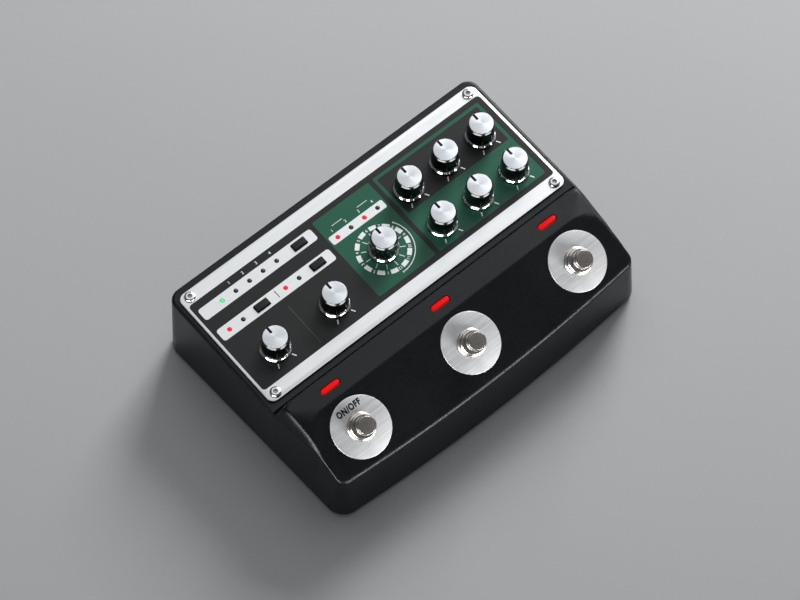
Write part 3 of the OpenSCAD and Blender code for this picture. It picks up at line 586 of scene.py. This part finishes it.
def side_x(y):
    """Half width of the base on its straight side."""
    return BASE_FRONT_HW + (BASE_HW - BASE_FRONT_HW) * (y - CORNER_Y) / (REAR_Y - BASE_R - CORNER_Y)


def shoulder_x(y):
    """Half width of the raised front: straight beside the pad, then widening to the rear half."""
    return PAD_HW + (PLATEAU_HW - PAD_HW) * max((y - HIP_Y) / (CREASE_Y - HIP_Y), 0.0)


def front_stations():
    """Stations along the bowed front, from its middle, and round the front corner."""
    half, base_half = PAD_HW - PAD_FRONT_R, BASE_FRONT_HW - BASE_R
    out = []
    for k in FRONT_SHARES:
        base = (base_half * k, bow(base_half * k, FRONT_Y))
        out.append((base, spot(PAD, half * k, bow(half * k, -PAD_FRONT)), FRONT_FILLET))
    low = arc(base_half, CORNER_Y, BASE_R, 270, FRONT_SEGMENTS)[1:]
    high = arc(half, bow(half, -PAD_FRONT) + PAD_FRONT_R, PAD_FRONT_R, 270, FRONT_SEGMENTS)[1:]
    for i, (b, u) in enumerate(zip(low, high)):
        out.append((b, spot(PAD, *u), FRONT_FILLET - (FRONT_FILLET - SIDE_FILLET) * i / len(low)))
    return out


def side_stations(start):
    """Stations along the side of the raised front, from a start to the crease."""
    rows = even(start, HIP_Y, PAD_ROWS) + even(HIP_Y, RIDGE_Y - FOLD_REACH, HIP_ROWS)
    rows += [RIDGE_Y + d for d in FOLD_ROWS]
    rows += even(RIDGE_Y + FOLD_ROWS[-1], TERRACE_Y - FOLD_REACH, TERRACE_ROWS)
    rows += [TERRACE_Y + d for d in FOLD_ROWS] + [CREASE_Y + d for d in CREASE_ROWS]
    out = []
    for y in rows:
        reach = min(SHOULDER_BLEND, CREASE_Y - y)
        near = [y + reach * d / BLEND_STEPS for d in range(-BLEND_STEPS, BLEND_STEPS + 1)]
        x, z = shoulder_x(y), sum(hard_height(shoulder_x(n), n) for n in near) / len(near)
        fillet = SIDE_FILLET + HIP_FILLET_GAIN * (x - PAD_HW) / (PLATEAU_HW - PAD_HW)
        out.append(((side_x(y), y), (x, y, z), fillet))
    return out


def rear_stations():
    """Stations along the flat rear half, from the crease to the rear's middle."""
    half, base_half, w = PLATEAU_HW - PLATEAU_R, BASE_HW - BASE_R, -PLATE_T
    v1 = (REAR_Y - PANEL_Y + (w - PLATEAU_DRAW) * PANEL_SIN) / PANEL_COS
    pairs = [((side_x(y), y), (PLATEAU_HW, (y - PANEL_Y) / PANEL_COS))
             for y in even(CREASE_Y, REAR_Y - BASE_R, REAR_SIDE_ROWS)[:-1]]
    pairs += zip(arc(base_half, REAR_Y - BASE_R, BASE_R, 0, REAR_SEGMENTS),
                 arc(half, v1 - PLATEAU_R, PLATEAU_R, 0, REAR_SEGMENTS))
    pairs += [((base_half * k, REAR_Y), (half * k, v1)) for k in even(1, 0, REAR_ROWS)]
    return [(b, spot(PANEL, *u, w), REAR_FILLET) for b, u in pairs]


def case_solid():
    """The outside of the case as one closed mesh: walls and fillets round the outline, raised front and flat rear.

    A station of the right half of the outline is a base point, an upper point and a fillet."""
    half = front_stations()
    middle = len(half) - 1 - FRONT_SEGMENTS // 2
    half += side_stations(half[-1][1][1])
    crease = len(half) - 1
    half += rear_stations()
    last = len(half) - 1
    bm = bmesh.new()
    inward = [(0, 1)]
    for (_, p, _), (_, q, _) in zip(half, half[2:]):
        d = Vector((q[0] - p[0], q[1] - p[1])).normalized()
        inward.append((-d.y, d.x))
    inward.append((0, -1))

    def column(i, side):
        b, u, r = half[i]
        b, u = Vector((*b, BASE_Z)), Vector(u)
        x, y = u.x + inward[i][0] * r, u.y + inward[i][1] * r
        flat_z = PANEL_H + (y - PANEL_Y) * PANEL_TAN - PLATE_T / PANEL_COS
        top = Vector((x, y, front_height(x, y) if i <= crease else flat_z))
        low = u + (b - u).normalized() * r
        pts = [b + Vector((*inward[i], 0)) * BASE_BEVEL, b + Vector((0, 0, BASE_BEVEL))]
        pts += [b.lerp(low, t) for t in WALL_ROWS]
        pts += [low * (1 - t) ** 2 + u * 2 * t * (1 - t) + top * t * t for t in FILLET_ROWS]
        return [bm.verts.new((p.x * side * MM, p.y * MM, p.z * MM)) for p in pts]

    right = [column(i, 1) for i in range(last + 1)]
    left = [right[0]] + [column(i, -1) for i in range(1, last)] + [right[-1]]
    loop = right + left[-2:0:-1]
    for p, q in zip(loop, loop[1:] + loop[:1]):
        for i in range(len(p) - 1):
            bm.faces.new((p[i], q[i], q[i + 1], p[i + 1]))
    bm.faces.new([c[0] for c in reversed(loop)])
    row = [left[i][-1] for i in range(middle, 0, -1)] + [right[i][-1] for i in range(middle + 1)]
    front = [v.co / MM for v in row]
    for i in range(middle + 1, crease + 1):
        a, b = left[i][-1], right[i][-1]
        y, hw = b.co.y / MM, b.co.x / MM
        fade = max(1 - (y - front[0].y) / (RIDGE_Y - BOW_FADE - front[0].y), 0.0)
        new = [a]
        for f in front[1:-1]:
            px, py = hw * f.x / front[-1].x, y + fade * (f.y - front[0].y)
            new.append(bm.verts.new((px * MM, py * MM, front_height(px, py) * MM)))
        new.append(b)
        for k in range(len(row) - 1):
            bm.faces.new((row[k], row[k + 1], new[k + 1], new[k]))
        row = new
    bm.faces.new(row + [c[-1] for c in right[crease + 1:]] + [c[-1] for c in left[-2:crease:-1]])
    return mesh_of(bm, "case_shell")


def base_outline(inset):
    """The outline of the base, drawn in."""
    r, y0, y1, n = BASE_R - inset, FRONT_Y + inset, REAR_Y - inset, BASE_SEGMENTS
    front, rear = BASE_FRONT_HW - inset - r, BASE_HW - inset - r
    y_end = bow(front, y0) + r
    bowed = [(x, bow(x, y0)) for x in even(-front, front, BASE_ROWS)[:-1]]
    return (arc(-front, y_end, r, 180, n) + bowed + arc(front, y_end, r, 270, n)
            + arc(rear, y1 - r, r, 0, n) + arc(-rear, y1 - r, r, 90, n))


def placed_prism(matrix, outline, z0, z1):
    """A closed prism on a frame, as a mesh."""
    bm = bmesh.new()
    prism(bm, outline, z0, z1)
    bmesh.ops.recalc_face_normals(bm, faces=bm.faces)
    bm.transform(matrix)
    me = bpy.data.meshes.new("prism")
    bm.to_mesh(me)
    bm.free()
    return me


def joined(meshes):
    """Several meshes as one."""
    bm = bmesh.new()
    for me in meshes:
        bm.from_mesh(me)
        bpy.data.meshes.remove(me)
    out = bpy.data.meshes.new("cutters")
    bm.to_mesh(out)
    bm.free()
    return out


def case_shell():
    """The cast case, hollow, with its openings and the groove along the step."""
    o = linked("case_shell", case_solid())
    across = Matrix(((0, 0, 1, 0), (1, 0, 0, 0), (0, 1, 0, 0), (0, 0, 0, 1)))
    y0, y1, z1 = FRONT_Y + HOLLOW_FRONT, CREASE_Y + HOLLOW_OVERLAP, CREASE_Z - HOLLOW_STEP
    pad_z = spot(PAD, 0, (y0 - PAD_Y) / PAD_COS)[2]
    hollow = [(y0, 0.0), (y1, 0.0), (y1, z1), (CREASE_Y - CREASE_GAP, z1),
              (TERRACE_Y - HOLLOW_EDGE, RIDGE_Z - HOLLOW_DROP), (RIDGE_Y, RIDGE_Z - HOLLOW_DROP),
              (y0, pad_z - HOLLOW_DROP)]
    rear_hollow = round_rect(-REAR_HOLLOW_HW, CREASE_Y + CREASE_GAP - PANEL_Y,
                             REAR_HOLLOW_HW, REAR_Y - WALL - PANEL_Y - REAR_GAP, REAR_HOLLOW_R)
    cut(o, placed_prism(Matrix.Identity(4), base_outline(FLOOR_INSET), *FLOOR_CUT))
    cut(o, placed_prism(across, hollow, -HOLLOW_HW, HOLLOW_HW))
    cut(o, placed_prism(PANEL, rear_hollow, REAR_HOLLOW_LOW, -PLATE_T - WALL))
    holes = [placed_prism(at(PAD, x), circle(0, 0, SWITCH_HOLE_R, SWITCH_SIDES), *PAD_CUT) for x in SWITCH_X]
    holes += [placed_prism(at(TERRACE, x, TERRACE_D / 2), centred(*LENS_SLOT), *LENS_CUT) for x in SWITCH_X]
    holes.append(placed_prism(PANEL, centred(*WINDOW), *PAD_CUT))
    rear = Matrix.Translation((0, REAR_Y * MM, SOCKET_Z * MM)) @ Matrix.Rotation(math.radians(-90), 4, "X")
    for r, places in ((PHONE_HOLE_R, PHONE_X), (MINI_HOLE_R, MINI_X), (POWER_HOLE_R, (POWER_X,))):
        holes += [placed_prism(at(rear, x), circle(0, 0, r, SOCKET_SIDES), *REAR_CUT) for x in places]
    holes.append(placed_prism(at(rear, USB_X), centred(*USB_SLOT), *REAR_CUT))
    groove = Matrix.Translation((0, (CREASE_Y + GROOVE_BACK) * MM, (CREASE_Z - GROOVE_DROP) * MM))
    holes.append(placed_prism(groove, centred(GROOVE_HW, GROOVE_HD, GROOVE_R, 2), 0, GROOVE_H))
    cut(o, joined(holes))
    o.data.materials.clear()
    finished(o.data, CASE_SHARP, CASE)
    normals = o.modifiers.new("normals", "WEIGHTED_NORMAL")
    normals.keep_sharp = True
    normals.weight = NORMAL_WEIGHT
    dress(o, "pedal", ["top_case"])


case_shell()


# -------------------- panel plate and print
PIECE_SHARP, PLATE_SHARP, PLATE_CUT, EDGE_NORMAL_Z, KEY_HOLE_R = 35, 30, (-3, 2), 0.2, 0.5
FIELD_T, LINE_T, LETTER_SCALE, DIGIT_WEIGHT = 0.03, 0.02, 1.38, 0.03
FIELD = round_rect(-87.9, -27.1, 87.9, 27.7, 1.8)
MODE_BLOCK = round_rect(-17.1, -24.2, 17.0, 24.8, 1.0)
GROUP_BLOCK = round_rect(19.5, -24.2, 84.8, 24.8, 1.0)
GROUP_FIELD = round_rect(21.1, 0.3, 83.1, 23.1, 0.6)
HEAD_STRIP = round_rect(-16.2, 9.3, 16.0, 14.1, 1.0)
STRIPS = [round_rect(-85.9, v0, -19.5, v1, 1.4) for v0, v1 in ((16.8, 23.5), (3.3, 10.1))]
DIVIDER = round_rect(-52.68, 4.7, -52.32, 9.0, 0.15, 3)
THIN_LINE = round_rect(-52.75, -24.7, -52.25, -1.3, 0.2, 3)
BRACKETS = [round_rect(u - 3.1, 17.8, u + 3.1, 18.08, 0.1, 3) for u in (-7.6, 7.6)]
KNOB_TICK, DIAL_TICK = (8.0, 10.3, 0.56), (7.8, 10.5, 0.36)     # inner radius, outer radius and width
END_ANGLES, DIAL_PITCH, DIAL_GAP, DIAL_BAND, DIAL_DIGIT_R = (150, -150), 30, 6.5, (11.1, 13.3), 12.25
RANGE_ARC, RANGE_BAND, RANGE_R, RANGE_DOT_R = (58, 181), (14.55, 14.95), 14.75, 0.45
DIAL_DIGIT, ROW_DIGIT, BANK_DIGIT_V, HEAD_DIGIT_V = 1.5, 1.6, 25.4, 15.9


def knob_hole(name):
    """The opening under a knob."""
    return circle(*KNOB_AT[name], KNOB_HOLE_R)


def plate_holes():
    """Outlines of the openings of the plate."""
    out = [knob_hole(name) for name in KNOBS]
    hw, hd = KEY_HW + HOLE_GAP, KEY_HD + HOLE_GAP
    out += [round_rect(u - hw, v - hd, u + hw, v + hd, KEY_HOLE_R, 4) for u, v in BUTTON_AT.values()]
    out += [circle(u, v, LIGHT_R + HOLE_GAP) for u, v in GREEN + RED + DARK]
    return out + [circle(u, v, SCREW_HOLE_R) for u, v in SCREW_AT]


def from_curve(name, cu, w, material, matrix):
    """A curve or text as a closed thin mesh on a frame."""
    o = linked(name, cu)
    me = baked(o)
    bpy.data.objects.remove(o)
    bm = bmesh.new()
    bm.from_mesh(me)
    bmesh.ops.remove_doubles(bm, verts=bm.verts, dist=MERGE)
    bm.to_mesh(me)
    bm.free()
    me.materials.clear()
    placed(name, finished(me, PIECE_SHARP, material), at(matrix, 0, 0, w), "pedal")


def filled(name, loops, material, w0=0.0, thick=FIELD_T):
    """A thin flat piece of print from closed outlines, with the inner ones as openings."""
    cu = bpy.data.curves.new(name, "CURVE")
    cu.dimensions = "2D"
    cu.fill_mode = "BOTH"
    cu.extrude = thick / 2 * MM
    for pts in loops:
        s = cu.splines.new("POLY")
        s.points.add(len(pts) - 1)
        for q, (u, v) in zip(s.points, pts):
            q.co = (u * MM, v * MM, 0, 1)
        s.use_cyclic_u = True
    from_curve(name, cu, w0 + thick / 2, material, PANEL)


def text(name, words, matrix, size, w, material, squeeze=1.0, weight=DIGIT_WEIGHT, apart=1.0):
    """Lettering as a thin closed mesh, centred on a frame."""
    cu = bpy.data.curves.new(name, "FONT")
    cu.body = words
    cu.size = size * LETTER_SCALE * MM
    cu.align_x = "CENTER"
    cu.align_y = "CENTER"
    cu.extrude = LINE_T / 2 * MM
    cu.offset = weight * MM
    cu.space_character = apart
    from_curve(name, cu, w + LINE_T / 2, material, matrix @ Matrix.Diagonal((squeeze, 1, 1, 1)))


def panel_plate():
    """The silver plate with a rounded edge and its openings; its upright side faces carry a dark painted shadow."""
    sheet = block("plate_sheet", centred(PLATE_HW, PLATE_HD, PLATE_R, 12), -PLATE_T, 0, PLATE_ROUND)
    o = placed("plate_sheet", finished(sheet, PIECE_SHARP), PANEL, "pedal", ["panel_plate"])
    bm = bmesh.new()
    for outline in plate_holes():
        prism(bm, outline, *PLATE_CUT)
    cutters = mesh_of(bm, "plate_cutters")
    cutters.transform(PANEL)
    cut(o, cutters)
    o.data.materials.clear()
    finished(o.data, PLATE_SHARP, PLATE, PLATE_EDGE_SHADOW)
    # upright side faces take the near-black painted shadow; the top and bottom keep the brushed metal
    for f in o.data.polygons:
        f.material_index = 1 if abs(f.normal.z) < EDGE_NORMAL_Z else 0


def around(u, v, r, angle):
    """A point at a radius and an angle in degrees, clockwise from the panel's rear."""
    a = math.radians(angle)
    return u + r * math.sin(a), v + r * math.cos(a)


def tick(u, v, angle, r0, r1, width):
    """The outline of a straight tick that points away from a centre."""
    a = math.radians(angle)
    s = (math.cos(a) * width / 2, -math.sin(a) * width / 2)
    corners = [(*around(u, v, r, angle), side) for r, side in ((r0, -1), (r0, 1), (r1, 1), (r1, -1))]
    return [(x + side * s[0], y + side * s[1]) for x, y, side in corners]


def band(u, v, r0, r1, a0, a1, n=8):
    """The outline of a part of a ring."""
    out = [around(u, v, r1, a0 + (a1 - a0) * i / n) for i in range(n + 1)]
    return out + [around(u, v, r0, a1 + (a0 - a1) * i / n) for i in range(n + 1)]


def panel_print():
    """The printed fields, lines, dial and digits of the panel."""
    holes = {name: knob_hole(name) for name in KNOBS}
    left, upper, lower = [[holes[name] for name in names] for names in (KNOBS[:2], KNOBS[3:6], KNOBS[6:])]
    filled("print_field", [FIELD, MODE_BLOCK, GROUP_BLOCK] + STRIPS + left, INK_BLACK)
    filled("print_mode_block", [MODE_BLOCK, HEAD_STRIP, holes["mode"]], INK_GREEN)
    filled("print_group_block", [GROUP_BLOCK, GROUP_FIELD] + lower, INK_GREEN)
    filled("print_group_field", [GROUP_FIELD] + upper, INK_BLACK)
    filled("print_divider", [DIVIDER], INK_TEXT)
    filled("print_thin_line", [THIN_LINE], INK_DIM, FIELD_T, LINE_T)
    ticks = [tick(*KNOB_AT[name], angle, *KNOB_TICK) for name in KNOBS if name != "mode" for angle in END_ANGLES]
    mode = KNOB_AT["mode"]
    turns = [DIAL_PITCH * i for i in range(12)]
    for turn in turns:
        ticks.append(band(*mode, *DIAL_BAND, turn + DIAL_GAP, turn + DIAL_PITCH - DIAL_GAP))
        ticks.append(tick(*mode, turn, *DIAL_TICK))
    ticks.append(band(*mode, *RANGE_BAND, *RANGE_ARC, 40))
    ticks += [circle(*around(*mode, RANGE_R, angle), RANGE_DOT_R, 16) for angle in RANGE_ARC]
    filled("print_ticks", ticks + BRACKETS, INK_WHITE, FIELD_T, LINE_T)
    for i, turn in enumerate(turns):
        digits = str((i + 5) % 12 + 1)
        place = at(PANEL, *around(*mode, DIAL_DIGIT_R, turn)) @ Matrix.Rotation(math.radians(-turn), 4, "Z")
        text("dial_" + digits, digits, place, DIAL_DIGIT, FIELD_T, INK_WHITE)
    for i in range(4):
        digit = str(i + 1)
        text("bank_" + digit, digit, at(PANEL, BANK[i + 1][0], BANK_DIGIT_V), ROW_DIGIT, FIELD_T, INK_WHITE)
        text("head_" + digit, digit, at(PANEL, HEAD[i][0], HEAD_DIGIT_V), ROW_DIGIT, FIELD_T, INK_WHITE)


panel_plate()
panel_print()


# -------------------- knobs; a profile is radius, height and rounding
KNOB_INSIDE = [(0, 9.95), (3.02, 9.95), (3.02, 3.9), (5.32, 3.9), (5.32, 0.7), (6.27, 0.7)]
KNOB_SKIRT = [(6.27, 2.72), (6.76, 2.72, 0.12), (6.42, 11.25, 0.16), (5.88, 11.95, 0.1), (5.775, 11.9)]
KNOB_TOP = [(5.775, 11.2), (0, 11.2)]
RING_PROFILE = [(6.3, 0.5), (7.42, 0.5, 0.1), (7.5, 1.6, 0.12), (7.0, 2.2, 0.3), (6.7, 2.36, 0.1), (6.3, 2.4)]
CAP_PROFILE = [(0, 11.25), (5.74, 11.25), (5.74, 12.36, 0.09), (0, 12.4)]
POINTER, POINTER_Z = round_rect(-0.62, 2.45, 0.62, 5.72, 0.25, 4), (12.0, 12.43)
KNOB_SIDES, KNOB_SHARP = 112, 32


def knobs():
    """Nine black knobs with a bright cap and foot ring and a pointer, each on its own dial."""
    knob = turned("knob_body", KNOB_INSIDE + rounded(KNOB_SKIRT, 5) + KNOB_TOP, KNOB_SIDES)
    bm = bmesh.new()
    lathe(bm, rounded(RING_PROFILE, 6), KNOB_SIDES, loop=True)
    lathe(bm, rounded(CAP_PROFILE, 5), KNOB_SIDES, material=lambda i: 1)
    trim = mesh_of(bm, "knob_trim")
    pointer = block("knob_pointer", POINTER, *POINTER_Z)
    finished(knob, KNOB_SHARP, KNOB_BODY)
    finished(trim, KNOB_SHARP, KNOB_RING, KNOB_CAP)
    finished(pointer, KNOB_SHARP, INK_TEXT)
    for name, (u, v) in KNOB_AT.items():
        for part, me, slot, nodes in (("turned_knob", knob, "knob_black", [name + "_knob"]),
                                      ("turned_trim", trim, "knob_silver", [name + "_trim"]),
                                      ("pointer", pointer, "knob_black", [])):
            placed(f"{name}_{part}", me, at(PANEL, u, v), name + "_dial", nodes)


knobs()


# -------------------- footswitches
DISC_PROFILE = [(6.05, 0.0), (14.55, 0.0), (14.6, 0.8, 0.18), (6.05, 0.8)]
COLLAR_PROFILE = [(6.05, 0.82), (6.9, 0.82), (6.9, 1.5, 0.25), (6.6, 1.75, 0.1), (6.6, 3.0, 0.3), (6.05, 3.2)]
THREAD_PROFILE = [(5.96, -4.7)] + [p for z in (3.3, 3.8, 4.3) for p in ((5.98, z), (5.7, z + 0.25))]
THREAD_PROFILE += [(5.98, 4.8), (5.98, 5.2), (5.85, 5.42), (5.5, 5.6), (4.68, 5.6), (4.68, -4.7)]
STEM_PROFILE = [(0, -12.0), (4.6, -12.0), (4.6, 9.1, 0.25), (4.15, 9.75, 0.2), (3.9, 9.8), (0, 9.8)]
SWITCH_BOX, SWITCH_BOX_Z, SWITCH_BOX_ROUND = (9, 9, 1.2, 5), (-22.7, -4.75), 0.4
SWITCH_SHARP, DISC_T = 30, 0.8
WORD_V, WORD_SIZE, WORD_SQUEEZE, WORD_WEIGHT, WORD_APART = 9.9, 3.0, 0.78, 0.22, 1.16


def footswitches():
    """Brushed discs, stepped collars, threaded bushings and flat plungers."""
    disc = turned("disc", rounded(DISC_PROFILE), 128, loop=True)
    collar = turned("collar", rounded(COLLAR_PROFILE), loop=True)
    bm = bmesh.new()
    lathe(bm, THREAD_PROFILE, loop=True)
    prism(bm, centred(*SWITCH_BOX), *SWITCH_BOX_Z, SWITCH_BOX_ROUND)
    bushing = mesh_of(bm, "bushing")
    profile = rounded(STEM_PROFILE)
    stem = turned("plunger", profile, material=lambda i: 1 if i >= len(profile) - 2 else 0)
    finished(disc, SWITCH_SHARP, DISC_METAL)
    finished(collar, SWITCH_SHARP, NICKEL)
    finished(bushing, SWITCH_SHARP, NICKEL)
    finished(stem, SWITCH_SHARP, NICKEL, PLUNGER_TOP)
    for i, side in enumerate(("left", "middle", "right")):
        place = at(PAD, SWITCH_X[i])
        for part, me, slot, node in (("disc", disc, "plate_silver", "switch_discs"),
                                     ("collar", collar, "nickel", "switch_collars"),
                                     ("bushing", bushing, "nickel", "switch_bodies")):
            placed(f"{side}_{part}", me, place, "pedal", [node] if i == 0 else [])
        placed(f"{side}_stem", stem, place, side + "_press", [side + "_plunger"])
    text("switch_word", "ON/OFF", at(PAD, SWITCH_X[0], WORD_V), WORD_SIZE, DISC_T, INK_TEXT, WORD_SQUEEZE, WORD_WEIGHT,
         WORD_APART)


footswitches()


# -------------------- lights, keys and screws
BAR_Z, BAR_ROUND, KEY_Z, KEY_ROUND, KEY_R = (-3.0, 0.2), 0.4, (-4.6, 1.2), 0.4, 0.45
DOME_PROFILE = [(0, -3.0), (LIGHT_R, -3.0), (LIGHT_R, 0.02), (0.9, 0.12), (0.72, 0.24), (0.4, 0.32), (0, 0.34)]
SCREW_PROFILE = [(0, -3.4), (1.45, -3.4), (1.45, 0.02), (2.8, 0.02), (2.8, 0.4), (2.72, 0.7), (2.4, 1.1), (1.95, 1.38),
                 (1.6, 1.48), (1.25, 1.47), (1.2, 0.55), (0, 0.5)]
RECESS_FROM, LIGHT_SHARP, SMALL_SHARP = 9, 50, 40


def row_of(name, me, matrices, node):
    """Copies of a mesh on the pedal that together replace a node."""
    for i, matrix in enumerate(matrices):
        placed(f"{name}_{i + 1}", me, matrix, "pedal", [node] if i == 0 else [])


def on_panel(spots):
    """Frames at spots of the panel."""
    return [at(PANEL, u, v) for u, v in spots]


def lights():
    """Status bars on the terrace and small round lights on the panel."""
    bar = finished(block("status_bar", centred(*LENS, 10), *BAR_Z, BAR_ROUND, 4), LIGHT_SHARP, LENS_RED)
    row_of("status_bar", bar, [at(TERRACE, x, TERRACE_D / 2) for x in SWITCH_X], "status_lenses")
    dome = turned("light_dome", DOME_PROFILE, 32)
    for group, spots, material, slot, node in (("green", GREEN, LIGHT_GREEN, "light_green", "green_light"),
                                               ("red", RED, LIGHT_RED, "light_red", "red_lights"),
                                               ("dark", DARK, LIGHT_DARK, "light_dark", "dark_lights")):
        row_of(group + "_dome", finished(dome.copy(), LIGHT_SHARP, material), on_panel(spots), node)


def keys():
    """The three small push keys."""
    me = finished(block("key_cap", centred(KEY_HW, KEY_HD, KEY_R, 5), *KEY_Z, KEY_ROUND, 4), SMALL_SHARP, KEY)
    for name, (u, v) in BUTTON_AT.items():
        placed(f"{name}_key_cap", me, at(PANEL, u, v), name + "_key", [name + "_button"])


def screws():
    """Domed panel screws with a hexagon recess."""
    def hexagon(i, t):
        return 1.0 if i < RECESS_FROM else math.cos(math.pi / 6) / math.cos((t % (math.pi / 3)) - math.pi / 6)

    # faces of the hex recess take the darker metal as painted shade
    me = turned("panel_screw", SCREW_PROFILE, 48, material=lambda i: 1 if i >= RECESS_FROM else 0, shape=hexagon)
    finished(me, SMALL_SHARP, CHROME, RECESS)
    row_of("panel_screw", me, on_panel(SCREW_AT), "panel_screws")


lights()
keys()
screws()

# -------------------- materials of the CAD nodes
KIND_FINISH = {"knob": KNOB_BODY, "trim": KNOB_RING, "shaft": SHAFT, "plunger": NICKEL, "button": KEY}
NODE_FINISH = {
    "top_case": CASE, "bottom_plate": FLOOR_SHEET, "bottom_screws": ZINC, "rubber_feet": RUBBER,
    "panel_plate": PLATE, "panel_screws": CHROME,
    "main_board": BOARD, "status_board": BOARD, "socket_board": BOARD, "board_screws": ZINC,
    "pot_bodies": TIN, "selector_body": PLASTIC, "shaft_nuts": NICKEL, "button_switches": PLASTIC,
    "switch_bodies": NICKEL, "switch_nuts": NICKEL, "switch_discs": DISC_METAL, "switch_collars": NICKEL,
    "status_lenses": LENS_RED, "green_light": LIGHT_GREEN, "red_lights": LIGHT_RED, "dark_lights": LIGHT_DARK,
    "phone_jacks": PLASTIC, "jack_nuts": NICKEL, "mini_jacks": PLASTIC, "usb_socket": TIN, "power_socket": PLASTIC,
}
for name, o in frame["nodes"].items():
    o.data.materials.clear()
    o.data.materials.append(KIND_FINISH.get(name.split("_")[-1]) or NODE_FINISH[name])


# -------------------- floor, light and camera, in metres and watts
FLOOR_HW = 6.0
PANEL_FACES = ("plate_sheet", "print_", "dial_", "bank_", "head_", "status_bar")
WORLD_COLOUR, WORLD_STRENGTH = (0.92, 0.95, 1.0, 1), 0.1
WHITE, SKY, COOL, PALE = (1, 1, 1), (0.95, 0.98, 1.0), (0.95, 0.97, 1.0), (0.97, 0.98, 1.0)
LIGHTS = (   # name, place, target, size, power, colour, for gloss alone, leaves out the faces of the panel
    ("top_softbox", (0.5, 0.54, 1.31), (0, 0.02, 0.03), (1.7, 1.7), 4.8, SKY, False, False),
    ("top_sheen", (0.5, 0.54, 1.32), (0, 0.02, 0.03), (1.7, 1.7), 3.0, SKY, True, False),
    ("key", (1.22, 0.68, 0.8), (0, 0, 0.03), (0.6, 0.6), 15.0, WHITE, False, False),
    ("left_strip", (-1.05, -0.62, 0.4), (0, -0.47, 0.04), (1.36, 0.4), 26.0, COOL, True, True),
    ("right_strip", (1.2, 0.1, 0.42), (0, 0, 0.04), (0.9, 0.36), 4.0, COOL, True, True),
    ("right_sheen", (1.0, -0.05, 1.1), (0.05, -0.03, 0.04), (0.7, 0.7), 3.0, COOL, True, False),
    ("front_strip", (0.22, -1.1, 0.26), (0.05, 0, 0.04), (0.84, 0.34), 14.0, PALE, True, True),
)
SENSOR, FOCAL, CLIP = 36.0, 130.7287, (0.05, 30)
CAMERA_RIGHT, CAMERA_DOWN = (0.762232, -0.647271, 0.006542), (-0.573374, -0.679832, -0.457243)
CAMERA_AHEAD, CAMERA_PLACE = (0.300408, 0.344775, -0.889318), (-0.411281, -0.466767, 1.225187)


def floor():
    """A plain pale floor that runs far out."""
    bm = bmesh.new()
    bmesh.ops.create_grid(bm, x_segments=8, y_segments=8, size=FLOOR_HW)
    me = bpy.data.meshes.new("floor")
    bm.to_mesh(me)
    bm.free()
    o = linked("floor", me)
    me.materials.append(finish_of("floor_pale", (0.79, 0.795, 0.8), (0.82, 0.825, 0.83), (0.85, 0.95), scale=300,
                                  strength=0.02, blotch=3.0, specular=0.0))


def panel_faces():
    """The printed panel, the lenses and the keys, as a group that the low strips leave out.

    Without it they wash the panel white in low views from the other side."""
    group = bpy.data.collections.new("panel_faces")
    for o in bpy.data.objects:
        if o.name.startswith(PANEL_FACES) or o.name.endswith("_key_cap") or "_dome_" in o.name:
            group.objects.link(o)
    for c in group.collection_objects:
        c.light_linking.link_state = "EXCLUDE"
    return group


def area(name, place, target, size, power, colour, gloss_only, skipped):
    """A soft rectangular light aimed at a point; a light for gloss alone leaves the floor and matt faces unlit."""
    light = bpy.data.lights.new(name, "AREA")
    light.shape = "RECTANGLE"
    light.size, light.size_y = size
    light.energy = power
    light.color = colour
    o = linked(name, light)
    o.visible_diffuse = not gloss_only
    o.light_linking.receiver_collection = skipped
    d = Vector(target) - Vector(place)
    o.matrix_world = Matrix.Translation(place) @ d.to_track_quat("-Z", "Y").to_matrix().to_4x4()


def light_and_camera():
    """Soft studio light, and the camera at the photograph's angle."""
    world = bpy.data.worlds.new("studio")
    bpy.context.scene.world = world
    world.use_nodes = True
    fill(world.node_tree.nodes["Background"], Color=WORLD_COLOUR, Strength=WORLD_STRENGTH)
    faces = panel_faces()
    for *values, leaves_out in LIGHTS:
        area(*values, faces if leaves_out else None)
    cam = bpy.data.cameras.new("photo_camera")
    cam.sensor_width = SENSOR
    cam.lens = FOCAL
    cam.clip_start, cam.clip_end = CLIP
    o = linked("photo_camera", cam)
    rows = [(r, -d, -a, p) for r, d, a, p in zip(CAMERA_RIGHT, CAMERA_DOWN, CAMERA_AHEAD, CAMERA_PLACE)]
    o.matrix_world = Matrix((*rows, (0, 0, 0, 1)))
    bpy.context.scene.camera = o
    bpy.context.scene.view_settings.view_transform = "Standard"


floor()
light_and_camera()
bpy.context.view_layer.update()
